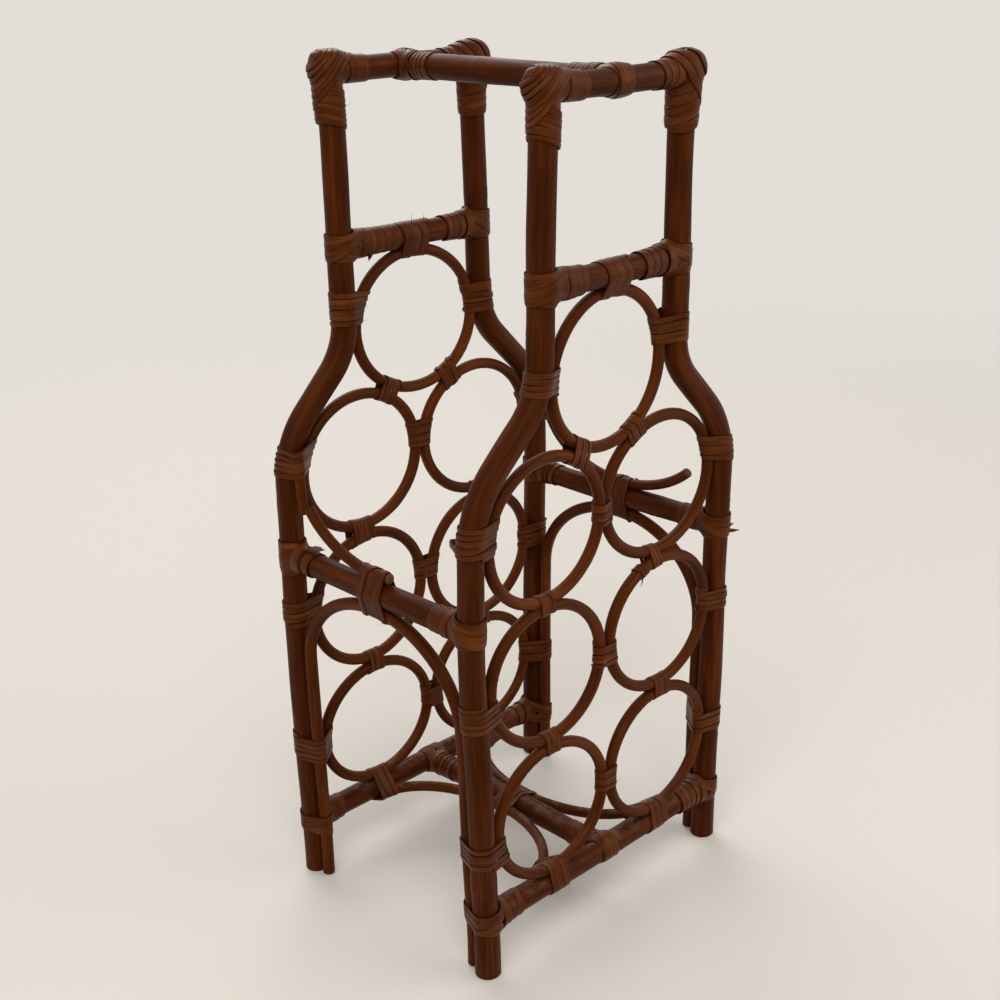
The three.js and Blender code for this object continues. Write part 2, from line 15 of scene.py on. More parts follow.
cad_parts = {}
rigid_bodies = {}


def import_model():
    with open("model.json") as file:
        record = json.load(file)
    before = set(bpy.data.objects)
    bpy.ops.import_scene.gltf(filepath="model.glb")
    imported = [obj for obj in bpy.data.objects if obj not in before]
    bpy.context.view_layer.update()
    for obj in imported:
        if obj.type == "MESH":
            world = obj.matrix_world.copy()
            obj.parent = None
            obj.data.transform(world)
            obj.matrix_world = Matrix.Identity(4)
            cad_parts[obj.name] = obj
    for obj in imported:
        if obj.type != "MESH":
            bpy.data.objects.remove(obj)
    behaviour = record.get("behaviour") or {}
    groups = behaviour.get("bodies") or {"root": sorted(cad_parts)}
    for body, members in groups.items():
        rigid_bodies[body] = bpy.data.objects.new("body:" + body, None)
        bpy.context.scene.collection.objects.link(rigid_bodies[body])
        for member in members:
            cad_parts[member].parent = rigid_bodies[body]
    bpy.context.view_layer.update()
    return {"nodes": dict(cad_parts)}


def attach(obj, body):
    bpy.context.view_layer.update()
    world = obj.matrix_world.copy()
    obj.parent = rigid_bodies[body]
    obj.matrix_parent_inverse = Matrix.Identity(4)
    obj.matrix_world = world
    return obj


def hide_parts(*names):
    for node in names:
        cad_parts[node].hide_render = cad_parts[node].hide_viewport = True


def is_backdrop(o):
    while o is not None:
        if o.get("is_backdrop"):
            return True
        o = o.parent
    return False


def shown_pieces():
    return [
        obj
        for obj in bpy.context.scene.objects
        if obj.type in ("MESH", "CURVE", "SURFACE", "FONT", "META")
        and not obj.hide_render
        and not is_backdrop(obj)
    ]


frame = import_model()
print("nodes in the frame:", len(frame["nodes"]))

# %% [markdown]
# ## The camera
#
# The photograph looks down at the front left post from a little above the handle. A camera could be
# turned by hand until it fits, but here its place and its three angles come from matching the rod
# crossings, so they are written as numbers. The focal length is in pixels of the 1000 pixel picture and
# is turned into millimetres.

# %% Camera
PICTURE_PX = 1000
FOCAL_PX = 1533.3
SENSOR_MM = 36.0
EYE = np.array([-0.8015, -0.7897, 0.7347])
YAW, PITCH, ROLL = np.radians([45.112, 20.358, -0.757])


def stand(thing, spot, right, up, back):
    """Puts an object at the spot, with its own x, y and z along the three directions, and links it."""
    place = np.eye(4)
    place[:3, :3] = np.stack([right, up, back], axis=1)
    place[:3, 3] = spot
    thing.matrix_world = Matrix(place.tolist())
    bpy.context.scene.collection.objects.link(thing)


gaze = np.array([np.sin(YAW) * np.cos(PITCH), np.cos(YAW) * np.cos(PITCH), -np.sin(PITCH)])
level = np.array([np.cos(YAW), -np.sin(YAW), 0.0])
upward = np.cross(level, gaze)
right_hand = np.cos(ROLL) * level + np.sin(ROLL) * upward
overhead = np.cos(ROLL) * upward - np.sin(ROLL) * level
camera_data = bpy.data.cameras.new("camera")
camera_data.sensor_width = SENSOR_MM
camera_data.lens = SENSOR_MM * FOCAL_PX / PICTURE_PX
camera = bpy.data.objects.new("camera", camera_data)
stand(camera, EYE, right_hand, overhead, -gaze)
bpy.context.scene.camera = camera
print("lens:", round(camera_data.lens, 2), "mm")

# %% [markdown]
# ## Colours and one node helper
#
# Colours are written as the hex values that a picture shows. Blender mixes light in linear numbers, so
# one function converts them. A second small function adds a shader node, sets its options and fills its
# inputs, and an input that is another node's socket becomes a link.

# %% Colour and node helpers
def colour(text):
    """Each sRGB channel c goes to c / 12.92 where dark, and to ((c + 0.055) / 1.055) ^ 2.4 elsewhere."""
    c = np.array([int(text[k:k + 2], 16) for k in (1, 3, 5)]) / 255.0
    linear = np.where(c <= 0.04045, c / 12.92, ((c + 0.055) / 1.055) ** 2.4)
    return (*linear.tolist(), 1.0)


def add(tree, kind, inputs, **options):
    """Adds a node of that kind to the tree, sets its options, and sets or links each given input."""
    node = tree.nodes.new(kind)
    for key, value in options.items():
        setattr(node, key, value)
    for key, value in inputs.items():
        if isinstance(value, bpy.types.NodeSocket):
            tree.links.new(value, node.inputs[key])
        else:
            node.inputs[key].default_value = value
    return node


def shades(ramp, stops):
    """Sets a colour ramp's stops from (place, hex colour) pairs."""
    elements = ramp.color_ramp.elements
    while len(elements) < len(stops):
        elements.new(0.5)
    for element, (place, text) in zip(elements, stops):
        element.position = place
        element.color = colour(text)


print("a mid brown in linear light:", [round(v, 3) for v in colour("#54290f")[:3]])

# %% [markdown]
# ## What rattan and cane have in common
#
# Both come from the stem of a climbing palm. It has no bark pores, only long fibres, so the eye sees fine
# lines along the piece and slow drifts from red brown to near black where the stain took. Lines could be
# painted, but a noise that is stretched along the piece follows every bend, because each piece carries
# its own lengthwise coordinate in the attribute `grain`. The varnish is now dull with age, and dust lies
# on what faces up near the floor.

# %% Fibres, varnish and dust
# The old varnish has yellowed, so what it reflects is amber.
AMBER = colour("#e8b182")
VARNISH_IOR = 1.45
DUST = colour("#7b6a5b")
# Dust begins below the first of these heights and is thickest below the second, in metres.
DUST_BELOW, DUST_THICK = 0.085, 0.05
TUFT_MM = 14
DRIFT_DETAIL, DRIFT_ROUGH = 2.0, 0.5


def fibrous(name, line_mm, detail, rough, drift_mm, stains):
    """A material with stained fibres: noise at the scale `line_mm` along, across and out of the piece,
    plus noise at the scale `drift_mm`, read off a ramp of three stains. Gives the material, the lines,
    their sum with the drifts, and the colour."""
    material = bpy.data.materials.new(name)
    material.use_nodes = True
    tree = material.node_tree
    grain = add(tree, "ShaderNodeAttribute", {}, attribute_name="grain").outputs["Vector"]
    noises = []
    for sizes, fineness, grit in ((line_mm, detail, rough), (drift_mm, DRIFT_DETAIL, DRIFT_ROUGH)):
        scale = [1 / mm for mm in sizes]
        per_mm = add(tree, "ShaderNodeVectorMath", {0: grain, 1: scale}, operation="MULTIPLY")
        noise = add(tree, "ShaderNodeTexNoise",
                    {"Vector": per_mm.outputs[0], "Scale": 1.0, "Detail": fineness, "Roughness": grit})
        noises.append(noise.outputs["Fac"])
    depth = add(tree, "ShaderNodeMath", {0: noises[0], 1: noises[1]}, operation="ADD").outputs[0]
    stain = add(tree, "ShaderNodeMapRange", {"Value": depth, "From Min": 0.6, "From Max": 1.4})
    ramp = add(tree, "ShaderNodeValToRGB", {"Fac": stain.outputs[0]})
    shades(ramp, list(zip((0.0, 0.5, 1.0), stains)))
    return material, noises[0], depth, ramp.outputs["Color"]


def dusty(tree, base, most):
    """The base colour with dust on it: only on faces that look up, only near the floor, and patchy,
    because lint gathers in tufts."""
    place = add(tree, "ShaderNodeTexCoord", {}).outputs["Object"]
    height = add(tree, "ShaderNodeSeparateXYZ", {"Vector": place}).outputs["Z"]
    low = add(tree, "ShaderNodeMapRange", {"Value": height, "From Min": DUST_BELOW, "From Max": DUST_THICK})
    normal = add(tree, "ShaderNodeNewGeometry", {}).outputs["Normal"]
    facing = add(tree, "ShaderNodeSeparateXYZ", {"Vector": normal}).outputs["Z"]
    upward_face = add(tree, "ShaderNodeMapRange", {"Value": facing, "From Min": 0.45, "From Max": 0.95})
    lint = add(tree, "ShaderNodeTexNoise",
               {"Vector": place, "Scale": 1000 / TUFT_MM, "Detail": 6.0, "Roughness": 0.75})
    patchy = add(tree, "ShaderNodeMapRange",
                 {"Value": lint.outputs["Fac"], "From Min": 0.46, "From Max": 0.72, "To Max": most})
    settled = add(tree, "ShaderNodeMath", {0: low.outputs[0], 1: upward_face.outputs[0]},
                  operation="MULTIPLY")
    dust = add(tree, "ShaderNodeMath", {0: settled.outputs[0], 1: patchy.outputs[0]}, operation="MULTIPLY")
    return add(tree, "ShaderNodeMix", {"Factor": dust.outputs[0], "A": base, "B": DUST},
               data_type="RGBA").outputs["Result"]


def varnish(material, base, gloss, shine, lines, relief, relief_m):
    """Gives the shader its colour, its roughness, a weak amber reflection and the fibres' fine relief."""
    tree = material.node_tree
    shader = tree.nodes["Principled BSDF"]
    bump = add(tree, "ShaderNodeBump", {"Height": lines, "Strength": relief, "Distance": relief_m})
    tree.links.new(base, shader.inputs["Base Color"])
    tree.links.new(gloss, shader.inputs["Roughness"])
    tree.links.new(bump.outputs["Normal"], shader.inputs["Normal"])
    shader.inputs["IOR"].default_value = VARNISH_IOR
    shader.inputs["Specular IOR Level"].default_value = shine
    shader.inputs["Specular Tint"].default_value = AMBER
    return material


print("lint tufts:", TUFT_MM, "mm, on what looks up below", DUST_BELOW, "m")

# %% [markdown]
# ## Stained rattan, for poles and rods
#
# The whole stem was stained dark and varnished to a soft gloss. Fibres show as streaks about a millimetre
# wide that run for some centimetres, and the stain drifts over a hand's width along the pole and about a
# quarter of the way round it. A sawn or broken end shows the paler pith, where the attribute `edge` is 1.

# %% Stained rattan material
def rattan(name, stains, streak_mm, dull):
    """Streaks and drifts along the stem, pith at its ends, and more gloss where the stain is light."""
    material, streaks, depth, stem = fibrous(name, (45, streak_mm, streak_mm), 4.0, 0.62, (70, 9, 9), stains)
    tree = material.node_tree
    sawn = add(tree, "ShaderNodeAttribute", {}, attribute_name="edge").outputs["Fac"]
    pith = add(tree, "ShaderNodeMix", {"Factor": sawn, "A": dusty(tree, stem, 0.6), "B": colour("#5a3c2d")},
               data_type="RGBA")
    gloss = add(tree, "ShaderNodeMapRange", {"Value": depth, "From Min": 0.7, "From Max": 1.3,
                                             "To Min": dull + 0.12, "To Max": dull - 0.06})
    return varnish(material, pith.outputs["Result"], gloss.outputs[0], 0.11, streaks, 0.35, 0.0004)


POLE = rattan("stained_rattan_pole", ("#270e02", "#3e1906", "#59290d"), 1.6, 0.42)
ROD = rattan("stained_bent_rattan_rod", ("#2c1103", "#461e07", "#612f0f"), 1.1, 0.40)
print("materials:", POLE.name, ROD.name)

# %% [markdown]
# ## Varnished cane strip
#
# The lashings are strips peeled from the outside of the stem. They are flat, shinier than the poles and a
# shade lighter, with hair-fine lines along them, and their sides are painted dark as shade in the seams
# between turns. The attribute `edge` runs from 0 in the middle of a strip to 1 at its sides and places
# that painted shade.

# %% Cane material
def cane(name, stains):
    """Hair-fine lines along the strip, tones that change over about a turn, and painted seam shade by
    `edge`.
    """
    # Lines on real cane are about 0.3 mm apart; 0.8 mm is as fine as the picture can show.
    material, lines, _, peel = fibrous(name, (30, 0.8, 3), 3.0, 0.6, (40, 12, 12), stains)
    tree = material.node_tree
    edge = add(tree, "ShaderNodeAttribute", {}, attribute_name="edge").outputs["Fac"]
    # Near its sides each strip is painted dark, as shade in the seams between turns.
    seam = add(tree, "ShaderNodeMapRange",
               {"Value": edge, "From Min": 0.72, "From Max": 1.0, "To Max": 0.75})
    seam_shaded = add(tree, "ShaderNodeMix",
                 {"Factor": seam.outputs[0], "A": dusty(tree, peel, 0.5), "B": colour("#1c0b04")},
                 data_type="RGBA")
    gloss = add(tree, "ShaderNodeMapRange",
                {"Value": lines, "From Min": 0.3, "From Max": 0.7, "To Min": 0.46, "To Max": 0.3})
    return varnish(material, seam_shaded.outputs["Result"], gloss.outputs[0], 0.14, lines, 0.4, 0.0003)


CANE = cane("varnished_cane_strip", ("#321405", "#4b230c", "#693617"))
FINISH = {"rattan_pole": POLE, "bent_rattan_rod": ROD, "cane_lashing": CANE}
print("material:", CANE.name)

# %% [markdown]
# ## How the old rack has settled
#
# Nothing on a hand-tied rack is quite square. Legs lean a few millimetres and poles wander a little.
# Bending each rod by itself would pull the lashings off their joints, so one smooth displacement is
# worked out for any point in space, and every piece passes through it. Rods and the strips round them
# then stay together.

# %% The settling of the frame
MM = 0.001
NECK_X, PANEL_Y = 71.5, 102.5
# How far each corner of the frame has moved to the right and to the back, in mm, at four heights.
LEAN_AT = (0.0, 283.0, 512.0, 660.0)
LEANS = {
    (-1, -1): ((3.0, -1.2), (-4.0, 2.8), (0.0, 0.0), (0.0, -3.5)),
    (1, -1): ((-3.5, 0.8), (0.0, 0.0), (0.6, -0.4), (1.8, -2.8)),
    (-1, 1): ((4.0, -2.4), (0.0, 0.0), (-0.6, 0.6), (-2.0, 3.3)),
    (1, 1): ((0.0, 0.0), (2.0, -1.8), (0.0, 0.0), (-0.6, 3.0)),
}
# Slow waves that poles wander in: which coordinate they move, how far in mm, how many mm of x, y and z
# turn the wave by one radian, with 0 where it doesn't depend on one, and the radians at which it starts.
WAVES = (
    (0, 0.5, (0, 70, 61), 0.6),
    (0, 0.3, (0, -50, 27), 0.0),
    (1, 0.5, (65, 0, 57), 2.1),
    (1, 0.3, (44, 0, 25), 1.0),
    (2, 0.5, (43, 60, 0), 0.4),
)
# At this height in mm and above it the waves are whole; below it they fade to nothing at the floor.
WANDER_FROM = 60.0


def lean(z, moves):
    """Eases from one height's move to the next: on each stretch the share goes as 3 u^2 - 2 u^3."""
    stretch = np.clip(np.searchsorted(LEAN_AT, z) - 1, 0, len(LEAN_AT) - 2)
    low, high = np.take(LEAN_AT, stretch), np.take(LEAN_AT, stretch + 1)
    u = np.clip((z - low) / (high - low), 0.0, 1.0)[..., None]
    moves = np.asarray(moves)
    return moves[stretch] + (moves[stretch + 1] - moves[stretch]) * (3 * u ** 2 - 2 * u ** 3)


def settle(spots):
    """Adds to each point the waves, faded towards the floor, and the four corners' moves, shared out by
    how near the point lies to each corner."""
    x, y, z = np.moveaxis(spots, -1, 0)
    shift = np.zeros(spots.shape)
    for way, height, lengths, start in WAVES:
        turned = start + sum(spots[..., k] / length for k, length in enumerate(lengths) if length)
        shift[..., way] += height * np.sin(turned)
    shift *= np.clip(z / WANDER_FROM, 0.0, 1.0)[..., None]
    for (side, depth), moves in LEANS.items():
        share = (1 + side * np.clip(x / NECK_X, -1, 1)) * (1 + depth * np.clip(y / PANEL_Y, -1, 1)) / 4
        shift[..., :2] += share[..., None] * lean(z, moves)
    return spots + shift


high = np.array([-NECK_X, -PANEL_Y, LEAN_AT[-1]])
print("at", LEAN_AT[-1], "mm the front left corner moves by", np.round(settle(high) - high, 2), "mm")

# %% [markdown]
# ## Paths, and the skin round them
#
# Poles, rods and strips are all one kind of shape: an outline carried along a path. Blender's curve bevel
# could draw them, but then leaf rings on the stem, flattened strips and the grain coordinate would be out
# of reach. Here the points of all outlines are one array, joined by four-sided faces and closed by a fan
# at each end.

# %% Path helpers
# A wave along a piece starts anywhere in its first 6 radians, nearly a full turn.
ANY_START = 6.0


def seeded(name):
    """A source of random numbers that is always the same for the same name."""
    return np.random.default_rng(sum(map(ord, name)))


def unit(vectors):
    """Vectors divided by their lengths."""
    return vectors / np.linalg.norm(vectors, axis=-1, keepdims=True)


def rows_of(x, y, z):
    """Points from three coordinates, each an array or one value for all."""
    return np.stack(np.broadcast_arrays(x, y, z), axis=-1)


def along(path):
    """The distance from the path's start to each of its points: the running sum of its steps."""
    return np.concatenate([[0.0], np.cumsum(np.linalg.norm(np.diff(path, axis=0), axis=1))])


def even(path, step, *others):
    """The path, and any arrays that go with it, read off again at even distances of about one step."""
    run = along(path)
    at = np.linspace(0.0, run[-1], max(int(np.ceil(run[-1] / step)), 3) + 1)
    return [np.stack([np.interp(at, run, column) for column in rows.T], axis=1) for rows in (path, *others)]


def waves(run, sizes, rng):
    """A sum of waves: height x sin(run / length + a random start) for each (height, length)."""
    return sum(height * np.sin(run / length + rng.uniform(0, ANY_START)) for height, length in sizes)


print("a quarter metre in 2 mm steps has", len(even(np.array([[0.0, 0, 0], [250, 0, 0]]), 2.0)[0]), "points")

# %% Skin helper
def skin(name, parts, slot, node=None):
    """Joins parts, each (points, grain, edge) with rows of points along the path and columns round it,
    into one mesh. Neighbouring rows are joined by quads, and both end rows are closed by triangles to
    their middle."""
    points, grains, edges, loops, sizes = [], [], [], [], []
    start = 0
    for rings, grain, edge in parts:
        rows, columns = rings.shape[:2]
        here = start + np.arange(rows * columns).reshape(rows, columns)
        beside = np.roll(here, -1, axis=1)
        first, last = start + rows * columns, start + rows * columns + 1
        quads = np.stack([here[:-1], beside[:-1], beside[1:], here[1:]], axis=-1).reshape(-1, 4)
        fan_in = np.stack([np.full(columns, first), beside[0], here[0]], axis=-1)
        fan_out = np.stack([np.full(columns, last), here[-1], beside[-1]], axis=-1)
        points.append(np.concatenate([rings.reshape(-1, 3), [rings[0].mean(0)], [rings[-1].mean(0)]]))
        grains.append(np.concatenate([grain.reshape(-1, 3), [grain[0].mean(0)], [grain[-1].mean(0)]]))
        edges.append(np.concatenate([edge.ravel(), [edge[0].mean()], [edge[-1].mean()]]))
        loops.append(np.concatenate([quads.ravel(), fan_in.ravel(), fan_out.ravel()]))
        sizes.append(np.concatenate([np.full(len(quads), 4), np.full(2 * columns, 3)]))
        start = last + 1
    corners, counts = np.concatenate(loops), np.concatenate(sizes)
    mesh = bpy.data.meshes.new(name)
    mesh.vertices.add(start)
    mesh.vertices.foreach_set("co", (settle(np.concatenate(points)) * MM).ravel())
    mesh.loops.add(len(corners))
    mesh.loops.foreach_set("vertex_index", corners)
    mesh.polygons.add(len(counts))
    mesh.polygons.foreach_set("loop_start", np.concatenate([[0], np.cumsum(counts)[:-1]]))
    mesh.update(calc_edges=True)
    mesh.polygons.foreach_set("use_smooth", np.ones(len(counts), dtype=bool))
    lengthwise = mesh.attributes.new("grain", "FLOAT_VECTOR", "POINT")
    lengthwise.data.foreach_set("vector", np.concatenate(grains).ravel())
    mesh.attributes.new("edge", "FLOAT", "POINT").data.foreach_set("value", np.concatenate(edges))
    mesh.materials.append(FINISH[slot])
    piece = bpy.data.objects.new(name, mesh)
    bpy.context.scene.collection.objects.link(piece)
    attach(piece, "root")
    if node:
        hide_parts(node)
    return piece


def made(material):
    """How many pieces of rattan or of cane there are so far, by the first word of their names."""
    return sum(thing.name.startswith(f"{material}_") for thing in bpy.data.objects)


print("pieces so far:", made("rattan") + made("cane"))

# %% [markdown]
# ## One rattan rod
#
# A rattan stem is nearly round. It swells slightly and keeps a thin ring wherever a leaf once grew, a
# hand's width or two apart. Its sawn ends have a small softened edge. All rods here bend in one plane, so
# the direction square to that plane and the path's own direction give the circle at every point without
# any twist.

# %% Rod helper
# A leaf ring is a low bump with a fine groove in it: the share of the rod's radius, and the reach in mm.
RING_BUMP, RING_GROOVE = (0.035, 4.0), (0.045, 0.9)
RING_ASTRAY = 25.0
# Slow swells of the stem: the share of the radius, and the mm that turn the wave by one radian.
STEM_SWELLS = ((0.012, 29.0), (0.008, 11.0))
# The stem is out of round by this share, and its long way turns by half a radian in so many mm.
OVAL, OVAL_MM = 0.010, 60.0
# A sawn end is this share of the full size, which it reaches after this share of one step.
SAWN_SIZE, SAWN_STEP = 0.93, 0.3
# Each length of rod or strip reads its grain from a random place along this many mm.
GRAIN_MM = 4000
# The middle line and the radius of each finished rod, by node, which the ties go round.
AXES = {}


def length_of_rod(path, square, radius, rng, sides, ring_mm, step=2.2):
    """At each point of the path stands a circle spanned by `square` and by square x path direction. Its
    radius is the rod's, plus a slow swell, plus a bump with a fine groove at each leaf ring, less at the
    sawn ends."""
    line = even(np.asarray(path, dtype=float), step)[0]
    line = np.concatenate([line[:1], line[:1] + SAWN_STEP * (line[1:2] - line[:1]), line[1:-1],
                           line[-1:] + SAWN_STEP * (line[-2:-1] - line[-1:]), line[-1:]])
    run = along(line)
    heading = unit(np.gradient(line, run, axis=0))
    across = unit(np.cross(square, heading))
    round_to = np.linspace(0.0, 2 * np.pi, sides, endpoint=False)
    rings_at = np.arange(rng.uniform(0.2, 0.8) * ring_mm, run[-1], ring_mm)
    from_ring = run[:, None] - (rings_at + rng.uniform(-RING_ASTRAY, RING_ASTRAY))
    bump, groove = (share * np.exp(-(from_ring / reach) ** 2) for share, reach in (RING_BUMP, RING_GROOVE))
    stem = 1 + waves(run, STEM_SWELLS, rng) + (bump - groove).sum(axis=1)
    stem[[0, -1]] *= SAWN_SIZE
    size = radius * stem[:, None] * (1 + OVAL * np.cos(2 * round_to + run[:, None] / OVAL_MM))
    circle = np.cos(round_to)[:, None] * across[:, None, :] + np.sin(round_to)[:, None] * np.asarray(square)
    rings = line[:, None, :] + size[..., None] * circle
    grain = rows_of(run[:, None] + rng.uniform(0, GRAIN_MM),
                    size * np.cos(round_to), size * np.sin(round_to))
    sawn = np.zeros(size.shape)
    sawn[[0, -1]] = 1.0
    return line, (rings, grain, sawn)


def rod(node, paths, square, radius, slot="rattan_pole", sides=24, ring_mm=210.0):
    """One piece for the node, from one path or, where the rod is broken, from several."""
    rng = seeded(node)
    lengths = [length_of_rod(path, square, radius, rng, sides, ring_mm) for path in paths]
    AXES[node] = (np.concatenate([line for line, _ in lengths]), radius)
    return skin(f"rattan_{node}", [part for _, part in lengths], slot, node)


print("leaf rings stand out by", round(100 * RING_BUMP[0], 1), "% of the radius")

# %% [markdown]
# ## The four posts
#
# Each post is one pole, bent with steam: a straight leg, a shoulder that turns in by 45 degrees, a short
# slope, and a bend back up into the neck. The path is written as two straight runs and two arcs.

# %% Posts
SIDE_WAY, DEPTH_WAY, UP_WAY = np.eye(3)
PANELS = {"front": -PANEL_Y, "back": PANEL_Y}
SIDES = {"left": -1.0, "right": 1.0}
POLE_R = 9.75
LEG_X = 135.0
SHOULDER_Z, SHOULDER_R, BEND_R, SLOPE = 339.65, 75.0, 55.0, np.pi / 4
POST_TOP = 650.0
BEND_POINTS = 30


def post_path(side, y):
    """Leg up to the shoulder, an arc inwards by the slope, a straight slope, the arc back, the neck."""
    turn = np.linspace(0.0, SLOPE, BEND_POINTS)
    shoulder_x = LEG_X - SHOULDER_R * (1 - np.cos(turn))
    shoulder_z = SHOULDER_Z + SHOULDER_R * np.sin(turn)
    bend_x = NECK_X + BEND_R * (1 - np.cos(turn[::-1]))
    run = (shoulder_x[-1] - bend_x[0]) / np.sin(SLOPE)
    neck_z = shoulder_z[-1] + run * np.cos(SLOPE) + BEND_R * np.sin(SLOPE)
    bend_z = neck_z - BEND_R * np.sin(turn[::-1])
    x = np.concatenate([[LEG_X], shoulder_x, bend_x, [NECK_X]])
    return rows_of(side * x, y, np.concatenate([[0.0], shoulder_z, bend_z, [POST_TOP]]))


for panel, y in PANELS.items():
    for hand, side in SIDES.items():
        rod(f"{panel}_{hand}_post", [post_path(side, y)], DEPTH_WAY, POLE_R, sides=28)
print("post length:", round(along(AXES["front_left_post"][0])[-1]), "mm")

# %% [markdown]
# ## Rails, handle and stretcher
#
# The straight poles run between the posts. Each end is coped on the real rack and hidden under its
# lashing, so here each rail simply stops inside the surface of the pole it meets. The back neck rail and
# the right side rail were tied a little higher than their twins, and the right side rail is a thinner
# stem.

# %% Straight poles
RAIL_R, HANDLE_R = 9.25, 9.4
SIDE_R = {"left": RAIL_R, "right": 8.9}
BOTTOM_Z, TOP_Z = 47.0, 641.0
NECK_Z = {"front": 512.0, "back": 513.4}
SIDE_Z = {"left": 283.0, "right": 285.5}
SINK = 6.0

for panel, y in PANELS.items():
    levels = {"bottom": (LEG_X, BOTTOM_Z), "neck": (NECK_X, NECK_Z[panel]), "top": (NECK_X, TOP_Z)}
    for name, (half, z) in levels.items():
        reach = half - SINK
        rod(f"{panel}_{name}_rail", [[[-reach, y, z], [reach, y, z]]], UP_WAY, RAIL_R)
reach = PANEL_Y - SINK
between_panels = {f"{hand}_side_rail": (side * LEG_X, SIDE_Z[hand], SIDE_R[hand])
                  for hand, side in SIDES.items()}
between_panels |= {"carry_handle": (0.0, TOP_Z, HANDLE_R), "base_stretcher": (0.0, BOTTOM_Z, RAIL_R)}
for node, (x, z, radius) in between_panels.items():
    rod(node, [[[x, -reach, z], [x, reach, z]]], UP_WAY, radius)
print("poles:", made("rattan"))

# %% [markdown]
# ## The hoops
#
# Seven hoops stand in each panel: three rows of two, and one in the neck. Each is a thin rod bent round
# until its ends meet under a tie. A row hoop is an ellipse, slightly wider than tall, and the neck hoop
# is nearly round. Over the years they have slipped a few millimetres and stand a little before or behind
# each other.

# %% Hoops
BENT = dict(slot="bent_rattan_rod", sides=18)
# The gap that is left where two rods touch.
FIT = 0.3
HOOP_R, HOOP_HALF_H = 4.5, 56.5
# A row hoop fills the space from the panel's middle to the post, less half a gap and a whole one.
HOOP_HALF_W = (LEG_X - POLE_R - 1.5 * FIT) / 2
HOOP_X = HOOP_HALF_W + FIT / 2
ROW_STEP = 2 * HOOP_HALF_H + FIT
HOOP_ROWS = {"lower": SHOULDER_Z - 2 * ROW_STEP, "middle": SHOULDER_Z - ROW_STEP, "upper": SHOULDER_Z}
NECK_HALF_W, NECK_HALF_H = 62.3, 60.9
NECK_HOOP_Z = NECK_Z["front"] - RAIL_R - FIT - NECK_HALF_H
# Half the angle between a hoop's two ends, the points round it, and the mm between its leaf rings.
HOOP_GAP, HOOP_POINTS, HOOP_RING_MM = 0.002, 200, 130.0
# How far in mm hoops have slipped back and up, and how much their half width and half height have grown.
SLIPS = {
    "front_lower": (-2.0, -1.0, 0.0, 0.5),
    "front_middle": (-1.5, -1.0, -0.5, 1.0),
    "front_upper_left": (-1.0, -2.0, -1.0, 2.0),
    "front_upper_right": (2.5, -1.0, 1.5, 2.0),
    "front_neck": (2.0, 1.0, -0.5, 0.5),
    "back_lower": (-3.5, -1.0, -1.0, -1.0),
    "back_middle": (-2.5, -1.0, -1.5, 2.0),
    "back_upper": (-0.5, 2.0, 0.0, 2.0),
    "back_neck": (0.0, 4.0, 3.0, -1.0),
}


def hoop(name, x, y, z, half_w, half_h, start):
    """Once round an ellipse in the panel's plane, from the angle `start` where its two ends meet."""
    back, up, wider, taller = SLIPS.get(name) or SLIPS[name.rpartition("_")[0]]
    angle = start + np.linspace(HOOP_GAP, 2 * np.pi - HOOP_GAP, HOOP_POINTS)
    path = rows_of(x + (half_w + wider - HOOP_R) * np.cos(angle), y + back,
                   z + up + (half_h + taller - HOOP_R) * np.sin(angle))
    rod(f"{name}_hoop", [path], DEPTH_WAY, HOOP_R, **BENT, ring_mm=HOOP_RING_MM)


for panel, y in PANELS.items():
    for row, z in HOOP_ROWS.items():
        for hand, side in SIDES.items():
            inmost = 0.0 if side < 0 else np.pi
            ends_meet = inmost if row == "upper" else -np.pi / 2
            hoop(f"{panel}_{row}_{hand}", side * HOOP_X, y, z, HOOP_HALF_W, HOOP_HALF_H, ends_meet)
    hoop(f"{panel}_neck", 0.0, y, NECK_HOOP_Z, NECK_HALF_W, NECK_HALF_H, np.pi / 2)
print("hoops:", sum("hoop" in node for node in AXES))

# %% [markdown]
# ## Arches, braces and bows
#
# On each side a rod stands inside the posts and arches under the side rail, and another dips from the
# posts to the top of that rail. Age has broken the braces: the left one ends just past the rail's middle
# and has snapped near its back end, and the right one has sprung off its front post. On the floor side
# two bows swing in from the bottom rails to the stretcher. All are halves or parts of ellipses.

# %% Side arches, side braces and base bows
ARCH_R, BRACE_R, BOW_R = 5.0, 4.25, 4.25
ARCH_Y = PANEL_Y - POLE_R - FIT - ARCH_R
ARCH_SPRING, ARCH_FOOT = 200.0, 1.0
BRACE_Y = PANEL_Y - POLE_R - FIT - BRACE_R
BRACE_END_Z = 357.0
BRACE_LOW = {"left": 296.8, "right": 297.6}
BRACE_FRONT = {"left": -17.0, "right": -71.0}
# Where the snapped length of the left brace begins, and where the stub above it ends.
SNAP_Y = 77.0
STUB_Y, STUB_Z = BRACE_Y - 3.5, 322.0
BOW_X = 75.0
BOW_Y = PANEL_Y - RAIL_R - FIT - BOW_R
BOW_REACH = BOW_X - RAIL_R - FIT - BOW_R
# The bow's ends stop under their ties, this many radians short of the half ellipse.
BOW_SHORT = 0.1
CURVE_POINTS = 80

